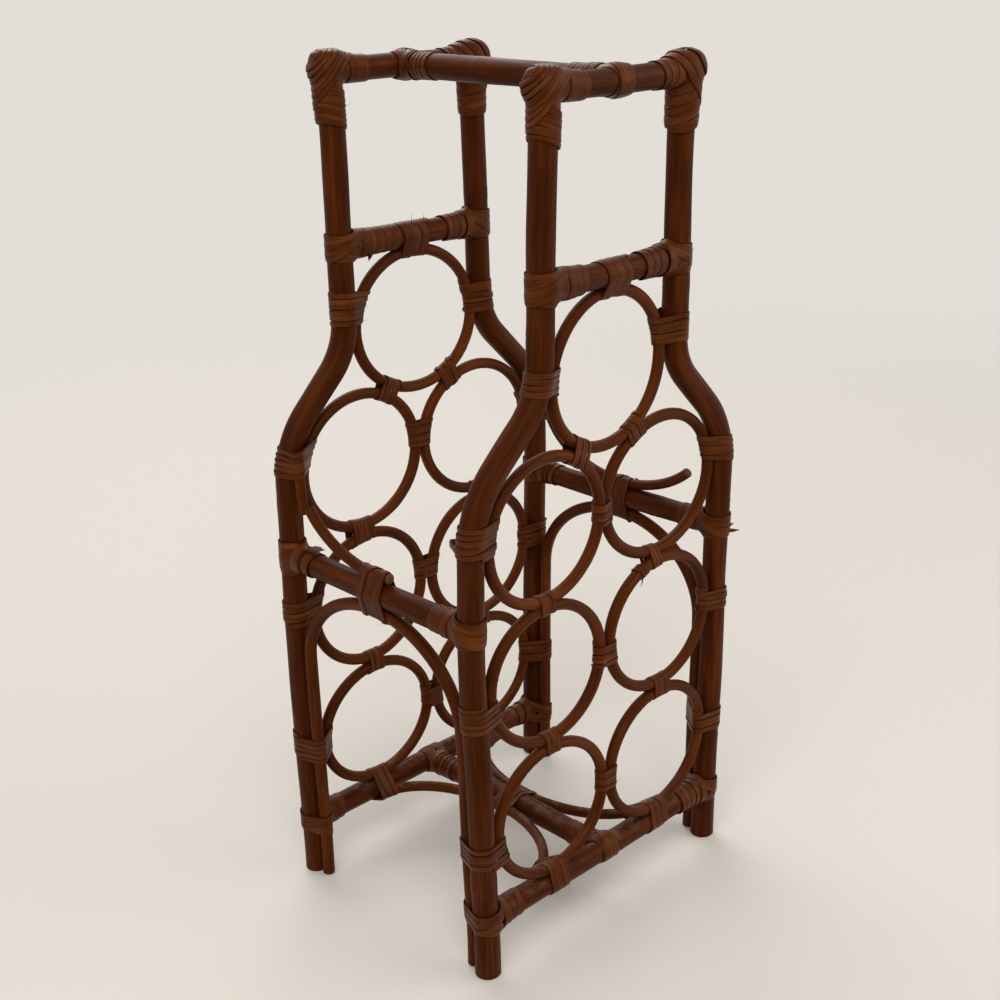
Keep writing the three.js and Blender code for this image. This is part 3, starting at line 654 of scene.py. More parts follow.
for hand, side in SIDES.items():
    x = side * LEG_X
    half = np.linspace(0.0, np.pi, CURVE_POINTS)
    rise = SIDE_Z[hand] - SIDE_R[hand] - FIT - ARCH_R - ARCH_SPRING
    arch = rows_of(x, np.concatenate([[ARCH_Y], ARCH_Y * np.cos(half), [-ARCH_Y]]),
                   np.concatenate([[ARCH_FOOT], ARCH_SPRING + rise * np.sin(half), [ARCH_FOOT]]))
    rod(f"{hand}_side_arch", [arch], SIDE_WAY, ARCH_R, **BENT)
    snap = np.arccos(SNAP_Y / BRACE_Y) if hand == "left" else 0.0
    swing = np.linspace(snap, np.arccos(BRACE_FRONT[hand] / BRACE_Y), CURVE_POINTS)
    fall = BRACE_END_Z - BRACE_LOW[hand]
    dip = rows_of(x, BRACE_Y * np.cos(swing), BRACE_END_Z - fall * np.sin(swing))
    stub = [[x, BRACE_Y, BRACE_END_Z], [x, STUB_Y, STUB_Z]]
    rod(f"{hand}_side_brace", [stub, dip] if hand == "left" else [dip], SIDE_WAY, BRACE_R, **BENT)
    sweep = np.linspace(-1, 1, CURVE_POINTS) * (np.pi / 2 - BOW_SHORT)
    bow = rows_of(side * (BOW_X - BOW_REACH * np.cos(sweep)), BOW_Y * np.sin(sweep), BOTTOM_Z)
    rod(f"{hand}_base_bow", [bow], UP_WAY, BOW_R, **BENT)
print("rods in all:", len(AXES))

# %% [markdown]
# ## A strip of cane along a winding
#
# A strip has a flat back and a crowned face. It follows a path that hugs the rods, with the outward
# direction known at every point, so its outline stands on that direction. Its ends narrow, as a tucked
# end does.

# %% Strip helper
STRIP_T = 0.8
# The strip's outline: how far each point stands out, as a share of the thickness, and to the side.
OUT_FACE = np.array([1.0, 0.98, 0.9, 0.55, 0.0, 0.0, 0.0, 0.55, 0.9, 0.98])
OUT_SIDE = np.array([0.0, 0.45, 0.8, 1.0, 0.9, 0.0, -0.9, -1.0, -0.8, -0.45])
# A tucked end narrows over this many mm to this share of the width.
TUCK_MM, TUCK_W = 7.0, 0.55
# How the width wavers, as shares of it, and how the strip lifts off what it lies on, in mm.
WIDTH_WAVES = ((0.07, 17.0), (0.04, 7.0))
LIFT, LIFT_WAVES = 0.06, ((0.08, 9.0),)
GRAIN_ASIDE_MM = 50


def strip(path, outward, width, rng, tilt=0.0, step=1.3, thick=STRIP_T, onto=None):
    """The strip's outline, half as wide as `width` to each side and `thick` high, stands on the outward
    direction at every point of the path. Width and height waver a little, and `tilt` lifts one side over
    the next turn. `onto` moves the strip's back along a surface and gives the directions out of it, so
    that a broad strip bends to it."""
    line, out = even(path, step, outward)
    run = along(line)
    heading = unit(np.gradient(line, axis=0))
    out = unit(out - (out * heading).sum(axis=1, keepdims=True) * heading)
    side = np.cross(heading, out)
    out, side = np.cos(tilt) * out + np.sin(tilt) * side, np.cos(tilt) * side - np.sin(tilt) * out
    tuck = np.clip(np.minimum(run, run[-1] - run) / TUCK_MM, 0.0, 1.0)
    half = width / 2 * (1 + waves(run, WIDTH_WAVES, rng)) * (TUCK_W + (1 - TUCK_W) * tuck)
    lift = waves(run, LIFT_WAVES, rng) + LIFT
    aside = half[:, None] * OUT_SIDE
    back = line[:, None, :] + aside[..., None] * side[:, None, :]
    up = out[:, None, :]
    if onto:
        back, up = onto(line, back)
        back = back + (np.sin(tilt) * aside)[..., None] * up
    rings = back + (lift[:, None] + thick * OUT_FACE)[..., None] * up
    grain = rows_of(run[:, None] + rng.uniform(0, GRAIN_MM), aside + rng.uniform(0, GRAIN_ASIDE_MM),
                    thick * OUT_FACE)
    return rings, grain, np.broadcast_to(np.abs(OUT_SIDE), aside.shape)


print("strip outline points:", len(OUT_FACE))

# %% [markdown]
# ## Sprung fibres
#
# Old cane frays, and single fibres stand off the strips. Hair particles would draw them, but they carry
# no mesh to export, so each is a thin four-sided spike, bent a little.

# %% Fibre helper
# A fibre's radius in mm, the share of it at the tip, and the least and greatest length in mm.
FIBRE_R, FIBRE_TIP, FIBRE_MM = 0.2, 0.05, (2, 6)
FIBRE_POINTS, FIBRE_SIDES = 7, 4
FIBRE_SPREAD, FIBRE_BEND = 0.6, 0.3
# A fibre's first side is square to it and to this direction.
ASKEW = (0.3, 0.5, 0.8)


def fibres(path, out, count, rng):
    """Hair-thin fibres that have sprung off a strip: each leaves the path between its outward direction
    and a random one, bends aside as the square of its length, and thins to a point."""
    spread = np.linspace(0.0, 2 * np.pi, FIBRE_SIDES, endpoint=False)
    s = np.linspace(0.0, 1.0, FIBRE_POINTS)
    parts = []
    for i in rng.integers(0, len(path), count):
        way = unit(out[i] + rng.normal(0, FIBRE_SPREAD, 3))
        length = rng.uniform(*FIBRE_MM)
        line = path[i] + length * (s[:, None] * way + s[:, None] ** 2 * rng.normal(0, FIBRE_BEND, 3))
        one = unit(np.cross(way, ASKEW))
        two = np.cross(way, one)
        ring = np.cos(spread)[:, None] * one + np.sin(spread)[:, None] * two
        rings = line[:, None, :] + (FIBRE_R * (1 + FIBRE_TIP - s))[:, None, None] * ring
        parts.append((rings, rings, np.zeros(rings.shape[:2])))
    return parts


print("fibres are", FIBRE_MM[0], "to", FIBRE_MM[1], "mm long")

# %% [markdown]
# ## A tie round rods that lie side by side
#
# Most ties go round two or three rods that touch and run the same way. A tight strip is a belt: in every
# direction it rests on whichever rod reaches furthest that way and crosses straight between rods. Reading
# each rod's middle line at the strip's height lets the belt follow rods that bend away from each other.

# %% Belt helper
# The gap under a strip in mm, and how turns waver: mm, and radians round the rods to a radian of wave.
CANE_LAY = 0.25
TURN_WAVES = ((0.3, 2.0),)
TURN_POINTS = 56
# A belt sees only the stretch of a rod that lies this near it, along and across its axis, in mm.
NEAR_ALONG, NEAR_ACROSS = 30, 34


def belt(rods, at, axis, turns, pitch, rng, lay=CANE_LAY, slope=0.0):
    """Points of a winding: for the angle a and the height s along the axis, the rod whose centre . u +
    radius is greatest holds the strip, at that centre + (radius + lay) u, where u is the direction of a.
    `slope` lifts the strip on the side of the first direction by that many millimetres, and drops it on
    the other."""
    axis = unit(np.asarray(axis, dtype=float))
    first = unit(np.cross(axis, DEPTH_WAY if abs(axis[1]) < 0.9 else UP_WAY))
    second = np.cross(axis, first)
    t = np.linspace(0.0, turns, int(turns * TURN_POINTS) + 1)
    angle = 2 * np.pi * t + rng.uniform(0, ANY_START)
    height = pitch * (t - turns / 2) + waves(angle, TURN_WAVES, rng) + slope * np.cos(angle)
    across, over, size = [], [], []
    for line, radius in rods:
        local = np.stack([(line - at) @ first, (line - at) @ second, (line - at) @ axis], axis=1)
        beside = np.hypot(local[:, 0], local[:, 1]) < NEAR_ACROSS
        near = local[(np.abs(local[:, 2]) < NEAR_ALONG) & beside]
        near = near[np.argsort(near[:, 2])]
        across.append(np.interp(height, near[:, 2], near[:, 0]))
        over.append(np.interp(height, near[:, 2], near[:, 1]))
        size.append(np.full(len(t), radius))
    across, over, size = np.array(across), np.array(over), np.array(size)
    reach = across * np.cos(angle) + over * np.sin(angle) + size
    held = (reach.argmax(axis=0), np.arange(len(t)))
    out = np.cos(angle)[:, None] * first + np.sin(angle)[:, None] * second
    path = (at + across[held][:, None] * first + over[held][:, None] * second + height[:, None] * axis
            + (size[held] + lay)[:, None] * out)
    return path, out


on_leg = np.array([-LEG_X, -PANEL_Y, 100.0])
turn_of_post, _ = belt([AXES["front_left_post"]], on_leg, UP_WAY, 1, 0.0, seeded("one turn"))
print("one turn round a post is", round(along(turn_of_post)[-1]), "mm long")

# %% [markdown]
# ## How each tie sits
#
# A tie is a belt with several turns side by side. Those that are seen well differ from each other: some
# have slid along their rods, some have more turns, some slope. A rule can't give that, so they are listed
# by name, and the others vary a little at random.

# %% Tie helper
# How far each tie has slid along its rods in mm, its turns, and its slope in mm.
AS_TIED = {
    "front_upper_left_post_tie": (2.0, 5.4, 0.5),
    "front_upper_right_post_tie": (5.0, 4.6, 3.2),
    "back_upper_left_post_tie": (13.0, 5.0, -0.6),
    "front_middle_left_post_tie": (-10.0, 4.6, 0.3),
    "front_middle_right_post_tie": (-2.0, 4.4, 2.0),
    "back_middle_left_post_tie": (10.0, 4.6, 0.0),
    "front_lower_left_post_tie": (-11.0, 4.2, 0.2),
    "back_lower_left_post_tie": (5.0, 5.0, 0.6),
    "front_upper_middle_tie": (-4.5, 4.6, 0.8),
    "front_middle_middle_tie": (-5.0, 5.2, 0.5),
    "back_upper_middle_tie": (10.0, 6.2, 0.4),
    "back_middle_middle_tie": (6.0, 5.0, 0.0),
    "front_upper_right_stack_tie": (-8.0, 3.2, 0.3),
    "front_middle_right_stack_tie": (0.0, 5.4, 1.0),
    "back_upper_left_stack_tie": (-6.0, 6.0, 0.8),
    "back_left_rail_tie": (-5.0, 4.6, 0.0),
    "front_left_neck_side_tie": (-3.5, 4.3, 0.2),
    "front_right_neck_side_tie": (11.0, 5.0, 2.4),
    "back_left_neck_side_tie": (14.0, 5.5, 0.0),
    "back_right_neck_side_tie": (3.0, 6.2, 1.6),
}
SLID_MOST, SLOPE_MOST = 1.5, 1.0
# Turns lie this share of their width apart, so each laps over the next and tilts by so many radians.
LAP, LAP_TILT = 0.92, 0.07
# A turn over the others is a little more than one, and a crossing one slants over this share of them.
OVER_TURNS, CROSS_SHARE = 1.2, 0.7
LOOP_DROP = 6.0
HOOP_TIE_W = 3.8


def tie(name, rods, at, axis, turns, width=HOOP_TIE_W, node=None, cross=False, loop=None):
    """A strip wound round the rods, `turns` turns side by side. `cross` adds one slanting turn over them,
    and `loop` a slack turn that also goes round a place where a rod used to be."""
    rng = seeded(name)
    rods = [AXES[r] for r in rods]
    as_usual = (rng.uniform(-SLID_MOST, SLID_MOST), turns, rng.uniform(-SLOPE_MOST, SLOPE_MOST))
    slid, turns, slope = AS_TIED.get(name, as_usual)
    at = np.asarray(at, dtype=float) + slid * np.asarray(axis)
    path, out = belt(rods, at, axis, turns, width * LAP, rng, slope=slope)
    parts = [strip(path, out, width, rng, tilt=LAP_TILT)]
    over = CANE_LAY + STRIP_T
    if cross:
        slant = belt(rods, at, axis, OVER_TURNS, -CROSS_SHARE * width * turns, rng, over)
        parts.append(strip(*slant, width, rng))
    if loop:
        below = at - LOOP_DROP * np.asarray(axis)
        parts.append(strip(*belt(rods + [loop], below, axis, OVER_TURNS, width, rng, over), width, rng))
    parts += fibres(path, out, 2, rng)
    return skin(f"cane_{name}", parts, "cane_lashing", node)


print("ties listed by name:", len(AS_TIED))

# %% [markdown]
# ## The hoop ties
#
# Each hoop is tied to its neighbours, to the posts and to the bottom rail. The lowest ties on the posts
# also take in the side arch, and at the shoulder the end of the side brace. Where the brace has gone at
# the front left, the old loop still stands out from the post, so the belt there goes round the place
# where the rod used to be.

# %% Hoop ties
POST_TIE_W, RAIL_TIE_W = 4.6, 4.4
USUAL_TURNS, STACK_TURNS = 5, 4.5
# How many mm the shoulder ties lie above their hoops' middle, and the rail ties above the rail's.
SHOULDER_UP, RAIL_UP = 8, 5
# The empty loop has closed to this share of the rod that it held.
LOOP_CLOSED = 0.7


def nearest(a, b):
    """The middle of the shortest line between two rods' middle lines, and the first rod's upward way."""
    first, second = AXES[a][0], AXES[b][0]
    apart = np.linalg.norm(first[:, None, :] - second[None, :, :], axis=2)
    i, j = np.unravel_index(apart.argmin(), apart.shape)
    way = unit(first[min(i + 2, len(first) - 1)] - first[max(i - 2, 0)])
    return (first[i] + second[j]) / 2, way if way[2] > 0 else -way


def tie_half(panel, hand):
    """The ties of one half of a panel: three on the post, two between the rows, one on the bottom rail
    and two on the neck hoop."""
    y, side = PANELS[panel], SIDES[hand]
    hoops = {row: f"{panel}_{row}_{hand}_hoop" for row in HOOP_ROWS}
    post, neck_hoop = f"{panel}_{hand}_post", f"{panel}_neck_hoop"
    far_right = (panel, hand) == ("back", "right")
    beside_post = AXES[post][0] - np.sign(y) * (PANEL_Y - BRACE_Y) * DEPTH_WAY
    gone = (beside_post, BRACE_R * LOOP_CLOSED) if (panel, hand) == ("front", "left") else None
    brace = [f"{hand}_side_brace"] if panel == "back" else []
    # On the post, for each row: rods beside the hoop, the height above its middle, turns, and extras.
    on_post = {
        "lower": ([f"{hand}_side_arch"], 0, 4.5, {}),
        "middle": ([], 0, 5, dict(cross=hand == "right")),
        "upper": (brace, SHOULDER_UP, 6, dict(cross=far_right, loop=gone)),
    }
    for row, (others, up, turns, extra) in on_post.items():
        at = (side * (LEG_X - POLE_R), y, HOOP_ROWS[row] + up)
        rods = [post, hoops[row], *others]
        tie(f"{panel}_{row}_{hand}_post_tie", rods, at, UP_WAY, turns, POST_TIE_W, **extra)
    for low, high in (("lower", "middle"), ("middle", "upper")):
        at = (side * HOOP_X, y, (HOOP_ROWS[low] + HOOP_ROWS[high]) / 2)
        tie(f"{panel}_{high}_{hand}_stack_tie", [hoops[low], hoops[high]], at, SIDE_WAY, STACK_TURNS)
    rods = [f"{panel}_bottom_rail", hoops["lower"], f"{hand}_base_bow"]
    at = (side * HOOP_X, y, BOTTOM_Z + RAIL_UP)
    tie(f"{panel}_{hand}_rail_tie", rods, at, SIDE_WAY, USUAL_TURNS, RAIL_TIE_W)
    for name, other, width in (("shoulder", hoops["upper"], HOOP_TIE_W), ("neck_side", post, POST_TIE_W)):
        at, way = nearest(neck_hoop, other)
        tie(f"{panel}_{hand}_{name}_tie", [neck_hoop, other], at, way, USUAL_TURNS, width, cross=far_right)


for panel, y in PANELS.items():
    for row, z in HOOP_ROWS.items():
        pair = [f"{panel}_{row}_{hand}_hoop" for hand in SIDES]
        tie(f"{panel}_{row}_middle_tie", pair, (0.0, y, z), UP_WAY, USUAL_TURNS)
    for hand in SIDES:
        tie_half(panel, hand)
print("hoop ties:", made("cane"))

# %% [markdown]
# ## Ties that the frame already names
#
# The same belt binds the top of each neck hoop to its rail, the side rail to its arch and brace, and both
# bows to the stretcher. The neck hoop's band is made from broader strips.

# %% Named ties
NECK_TIE_W, SIDE_TIE_W, BOW_TIE_W = 9.0, 5.0, 4.6
NECK_TURNS, SIDE_TURNS = 3.3, 6
# The neck hoop's tie lies below its rail's middle, in mm, towards the hoop.
NECK_TIE_DOWN = 5

for panel, y in PANELS.items():
    name, at = f"{panel}_neck_hoop_tie", (0.0, y, NECK_Z[panel] - NECK_TIE_DOWN)
    rods = [f"{panel}_neck_rail", f"{panel}_neck_hoop"]
    tie(name, rods, at, SIDE_WAY, NECK_TURNS, NECK_TIE_W, name)
for hand, side in SIDES.items():
    name, at = f"{hand}_side_tie", (side * LEG_X, 0.0, SIDE_Z[hand])
    rods = [f"{hand}_side_{piece}" for piece in ("rail", "arch", "brace")]
    tie(name, rods, at, DEPTH_WAY, SIDE_TURNS, SIDE_TIE_W, name, cross=True)
rods = ["base_stretcher", "left_base_bow", "right_base_bow"]
tie("base_bow_tie", rods, (0.0, 0.0, BOTTOM_Z), DEPTH_WAY, USUAL_TURNS, BOW_TIE_W, "base_bow_tie")
print("ties in all:", made("cane"))

# %% [markdown]
# ## Windings where two poles meet
#
# At a crossing the strip can't lie in planes square to one pole. It goes round both in slanted planes,
# over layers that were wound before it. A belt round the bare poles would lie too close and would leave
# holes where the poles meet, so the joint is written as a formula: how far a point lies outside two
# cylinders that melt together, thicker where cane lies underneath.

# %% The body of a joint
RIM = 3.5
# The bare joint of a rail and a pole. `out` and `top` say how far the rail passes the pole and the pole
# passes the rail. `rail_fat`, `post_fat`, `lift` and `push` thicken and shift them near the joint, and
# end at `on_rail` and `on_post`. `beside` is how far off a thin rod stands next to the pole, and `melt`
# is how wide the seam is filled.
BARE = dict(post_r=POLE_R, rail_r=RAIL_R, out=-POLE_R, top=200.0, rail_fat=0.0, post_fat=0.0,
            lift=0.0, push=0.0, on_rail=40.0, on_post=40.0, beside=0.0, melt=7.0)
HALVINGS = 24


def swell(distance, most, reach):
    """Thickness of the cane underneath: `most` at the joint, easing to nothing at `reach` as half a
    cosine wave."""
    return most * (1 + np.cos(np.pi * np.clip(distance / reach, 0.0, 1.0))) / 2


def outside(p, shape):
    """How far points lie outside the joint. Each pole is a cylinder with a rounded rim: the distances
    past its round side and past its end are joined by their root sum of squares. The rail's middle rises
    by `lift` and the post's moves out by `push`. A rod beside the post draws the post's outline out to
    it. The lesser of the two poles' distances counts, rounded off over `melt` where they are alike."""
    x, y, z = p[..., 0], p[..., 1], p[..., 2]
    rise = z - swell(x, shape["lift"], shape["on_rail"])
    rail_side = np.hypot(y, rise) - shape["rail_r"] - swell(x, shape["rail_fat"], shape["on_rail"])
    rail_end = -x - shape["post_r"] - shape["out"]
    shove = x + swell(-z, shape["push"], shape["on_post"])
    share = np.clip(y / shape["beside"], 0.0, 1.0) if shape["beside"] else 0.0
    post_r = shape["post_r"] + share * (ARCH_R - shape["post_r"])
    fat = swell(-z, shape["post_fat"], shape["on_post"])
    post_side = np.hypot(shove, y - share * shape["beside"]) - post_r - fat
    post_end = z - shape["rail_r"] - shape["top"]
    past = []
    for side, end in ((rail_side, rail_end), (post_side, post_end)):
        side, end = side + RIM, end + RIM
        within = np.minimum(np.maximum(side, end), 0)
        past.append(within + np.hypot(np.maximum(side, 0), np.maximum(end, 0)) - RIM)
    mix = np.clip(0.5 + (past[1] - past[0]) / (2 * shape["melt"]), 0.0, 1.0)
    return past[1] + (past[0] - past[1]) * mix - shape["melt"] * mix * (1 - mix)


def out_of(p, shape):
    """The direction out of the joint: the slope of `outside`, from its change over 0.2 mm."""
    return unit(np.stack([outside(p + n, shape) - outside(p - n, shape) for n in 0.1 * np.eye(3)], axis=-1))


def surface(start, ray, shape, most=60.0):
    """Where rays come out of the body: halving the distance again and again closes in on the place."""
    low, high = np.zeros(ray.shape[:-1]), np.full(ray.shape[:-1], most)
    for _ in range(HALVINGS):
        half = (low + high) / 2
        within = outside(start + half[..., None] * ray, shape) < 0
        low, high = np.where(within, half, low), np.where(within, high, half)
    return start + low[..., None] * ray


print("a rail and a pole, 20 mm out along the rail and 20 mm up:",
      round(float(outside(np.array([20.0, 0.0, 20.0]), BARE)), 1), "mm outside")

# %% [markdown]
# ## Strips on that body
#
# A strip could be drawn by hand over each joint, but then no two would lie flat. Here it is the line
# where a slanting plane leaves the body, and its back is moved along the body, so that even a broad strip
# bends to it.

# %% Strips on the body
# How thick one layer of cane is, and the gap under the first one, in mm.
LAYER, LAYER_LAY = 0.6, 0.05
WRAP_POINTS = 60
# Turns are wound by eye: how far each strays, and its share for the plane's foot, tilt and layers.
STRAY, STRAY_SHARES = 0.35, (1, 1, 0.06, 0.2)
# A strip tilts onto its neighbour by this many mm over its width.
WOUND_TILT = 0.45


def planes(x, z, tilt, layers):
    """One row for each turn: the plane's foot along rail and post, its tilt, and the layers under it."""
    columns = (np.atleast_1d(np.asarray(v, dtype=float)) for v in (x, z, tilt, layers))
    return np.stack(np.broadcast_arrays(*columns), axis=1)


def wrap(shape, rows, drop, rng):
    """A strip's path on the body. The rows of planes are read off as the strip goes round, one row a
    turn. A ray in the plane leaves its foot at the angle a, a full circle for each turn, and is followed
    to the surface. `drop` is how steeply the plane falls from front to back."""
    t = np.linspace(0.0, len(rows), len(rows) * WRAP_POINTS + 1)
    strayed = rows + rng.uniform(-STRAY, STRAY, rows.shape) * STRAY_SHARES
    x, z, tilt, layers = (np.interp(t, np.arange(len(rows)) + 0.5, strayed[:, k]) for k in range(4))
    angle = 2 * np.pi * t + np.pi
    ray = rows_of(-np.sin(tilt) * np.cos(angle), np.sin(angle),
                  np.cos(tilt) * np.cos(angle) - drop * np.sin(angle))
    path = surface(rows_of(x, 0.0, z), ray, shape)
    out = out_of(path, shape)
    return path + (LAYER_LAY + LAYER * layers)[:, None] * out, out


def lay_on(line, back, shape):
    """Two steps along the slope bring all of a strip's back as far outside the body as its middle."""
    height = outside(line, shape)[:, None]
    for _ in range(2):
        back = back + (height - outside(back, shape))[..., None] * out_of(back, shape)
    return back, out_of(back, shape)


def wound(shape, rows, width, thick, rng, drop=0.0):
    """One strand: a strip along the path of its rows of planes, and a fibre that has sprung off it."""
    path, out = wrap(shape, rows, drop, rng)
    laid = strip(path, out, width, rng, tilt=WOUND_TILT / width, thick=thick,
                 onto=lambda line, back: lay_on(line, back, shape))
    return [laid] + fibres(path, out, 1, rng)


def lashing(node, parts, origin, rail_way, post_way):
    """Turns all parts from the joint's own directions, along the rail, across and along the post, to the
    frame's and makes them one piece."""
    turned = np.stack([rail_way, np.cross(post_way, rail_way), post_way])
    parts = [(rings @ turned + origin, grain, edge) for rings, grain, edge in parts]
    return skin(f"cane_{node}", parts, "cane_lashing", node)


turn_of_rail, _ = wrap(BARE, planes(30.0, 0.0, 0.0, 0.0), 0.0, seeded("one turn"))
print("one turn round a rail is", round(along(turn_of_rail)[-1]), "mm long")

# %% [markdown]
# ## The wrapped top corners
#
# The top corners are the richest lashings, built up in layers until they swell like knuckles: turns round
# the rail, turns round the post, and slanting turns that close the tip. Each corner was wound by eye, so
# each has sizes of its own. A plain core fills the tip, as the lower layers do.

# %% Top corners
# How far the core's rays reach in mm, the share they are drawn in to, how many there are from pole to
# pole and round, and the radians left free at each pole.
CORE_REACH, CORE_SHRINK = 34.0, 0.99
CORE_ROWS, CORE_COLUMNS, CORE_POLE = 60, 90, 0.02


def core(shape):
    """The layers under the strips: rays in all directions from the middle of the corner, followed to the
    surface or for the core's reach, and drawn in a little."""
    down = np.linspace(CORE_POLE, np.pi - CORE_POLE, CORE_ROWS)[:, None]
    round_to = np.linspace(0.0, 2 * np.pi, CORE_COLUMNS, endpoint=False)
    ray = rows_of(np.sin(down) * np.sin(round_to), -np.cos(down), np.sin(down) * np.cos(round_to))
    rings = surface(np.zeros(3), ray, shape, CORE_REACH) * CORE_SHRINK
    return rings, rings[..., [1, 0, 2]], np.zeros(rings.shape[:2])


# `slant` and `width` are the widths of the slanting turns and of the others. `pitch`, `thick`, `tilt` and
# `drop` space and lean the slanting turns, and `slope` leans the post's. The post's turns begin `below`
# under the rail's middle.
CORNERS = {
    "front_left": dict(
        out=0.6, top=4.0, rail_fat=1.9, post_fat=1.0, lift=2.2, push=-0.8, on_rail=33.0, on_post=36.0,
        width=3.3, slant=3.6, pitch=3.2, thick=0.75, tilt=0.75, drop=0.7, slope=0.45, below=13.0),
    "front_right": dict(
        out=0.6, top=4.0, rail_fat=2.8, post_fat=2.0, lift=3.0, push=0.0, on_rail=30.0, on_post=41.0,
        width=8.0, slant=8.0, pitch=8.3, thick=1.0, tilt=0.68, drop=0.0, slope=0.30, below=5.0),
    "back_left": dict(
        out=2.0, top=4.8, rail_fat=2.2, post_fat=1.4, lift=2.6, push=1.4, on_rail=31.0, on_post=39.0,
        width=3.9, slant=4.0, pitch=3.6, thick=0.75, tilt=0.75, drop=0.7, slope=0.35, below=13.0),
    "back_right": dict(
        out=1.2, top=3.0, rail_fat=2.2, post_fat=1.4, lift=2.8, push=0.0, on_rail=30.0, on_post=39.0,
        width=7.0, slant=8.0, pitch=8.2, thick=1.0, tilt=0.7, drop=0.0, slope=0.20, below=7.0),
}
# The layers on the post would thin out at this many times the winding's length, so its end is a step.
THINS = 2.3
CORNER_MELT, CORNER_LAP, CORNER_T = 3.0, 0.9, 0.7
# The slanting turns run from the tip to this far past the joint's middle, on this many layers.
SLANT_END, SLANT_LAYERS = 9.0, 0.6
# The rail's turns stop this far from the swollen post, in mm, and the first slanting turn's middle lies
# this share of its width from the tip.
CORNER_CLEAR, TIP_SHARE = 1.5, 0.45


def corner_wrap(corner, sizes):
    """Three strands on one body. The rail's and the post's step along them. The slanting turns step along
    the line that halves the corner, from its tip inwards: d / sqrt(2) along the rail and as much down the
    post."""
    panel, hand = corner.split("_")
    rng = seeded(corner)
    shape = BARE | sizes | dict(melt=CORNER_MELT, on_post=THINS * sizes["on_post"])
    slant, step = shape["slant"], -CORNER_LAP * shape["width"]
    tip = (POLE_R + shape["out"] + RAIL_R + shape["top"]) / np.sqrt(2) - RIM * (np.sqrt(2) - 1)
    d = np.arange(-tip + TIP_SHARE * slant, SLANT_END, shape["pitch"]) / np.sqrt(2)
    down_post = np.arange(-shape["below"], -sizes["on_post"], step)
    inner = POLE_R + shape["post_fat"] - shape["push"]
    along_rail = np.arange(shape["on_rail"], inner + CORNER_CLEAR, step)
    on_rail = planes(along_rail, 0.0, 0.0, 0.0)
    on_post = planes(0.0, down_post, np.pi / 2 - shape["slope"], 0.0)
    parts = [core(shape)]
    for rows in (on_rail, on_post):
        parts += wound(shape, rows, shape["width"], CORNER_T, rng)
    slanting = planes(d, -d, -shape["tilt"], SLANT_LAYERS)
    parts += wound(shape, slanting, slant, shape["thick"], rng, shape["drop"])
    origin = (SIDES[hand] * NECK_X, PANELS[panel], TOP_Z)
    lashing(f"{corner}_corner_wrap", parts, origin, -SIDES[hand] * SIDE_WAY, UP_WAY)


for corner, sizes in CORNERS.items():
    corner_wrap(corner, sizes)
print("corner wraps:", len(CORNERS))

# %% [markdown]
# ## Lashings where a rail meets the side of a pole
#
# Here two families of slanting turns run from the far side of the pole to the rail. The first passes
# under the rail and the second over it, so each face shows a fan of strips that meets the rail. A few
# turns round the rail then cover their ends. Where an arch stands beside the post, the turns take it in.

# %% Rail end helper
# The broad turn that hides the seam: how far it lies off the pole, and its width.
SEAM_OFF, SEAM_W = 3.0, 9.0
END_T = 0.65
# Near the pole the rail's turns lie on this many layers, and come down off them over this many mm.
UNDER, STEP_DOWN_MM = 2, 8.0


def rail_end(node, origin, rail_way, post_way, width, rise, feet, bands, **sizes):
    """First one broad turn round the rail hides the seam. The planes of the slanting turns pass the
    pole's far side at heights spread over `rise`, and the bottom or the top of the rail at `feet`
    (nearest, furthest) from the pole. Then turns round the rail, (from, to, width), step down off
    them."""
    shape = BARE | sizes
    post_r, rail_r = shape["post_r"], shape["rail_r"]
    rng = seeded(node)
    turns = int(np.ceil((rise - width) / (LAP * width))) + 1
    heights = np.linspace(0.5, -0.5, turns) * (rise - width)
    x = post_r + np.linspace(*feet, turns)
    parts = wound(shape, planes(post_r + SEAM_OFF, 0.0, 0.0, 0.0), SEAM_W, END_T, rng)
    for way, layers in ((-1.0, 0.0), (1.0, 1.0)):
        far, near = way * heights, way * rail_r
        rows = planes((x - post_r) / 2, (far + near) / 2, np.arctan2(x + post_r, far - near), layers)
        parts += wound(shape, rows, width, END_T, rng)
    start, stop, broad = bands
    at = post_r + np.arange(start, stop, broad * LAP)
    covered = UNDER * np.clip((x[-1] + width / 2 - at) / STEP_DOWN_MM, 0.0, 1.0)
    parts += wound(shape, planes(at, 0.0, 0.0, covered), broad, END_T, rng)
    return lashing(node, parts, np.asarray(origin, dtype=float), rail_way, post_way)


print("the turns round a rail step down off", UNDER * LAYER, "mm of cane")

# %% [markdown]
# ## The rail end lashings of the rack
#
# There are sixteen: at the neck, the side rails and the feet one for each post, and one at each end of
# the handle and the stretcher. They were tied by hand, so those that are seen well have widths of their
# own.

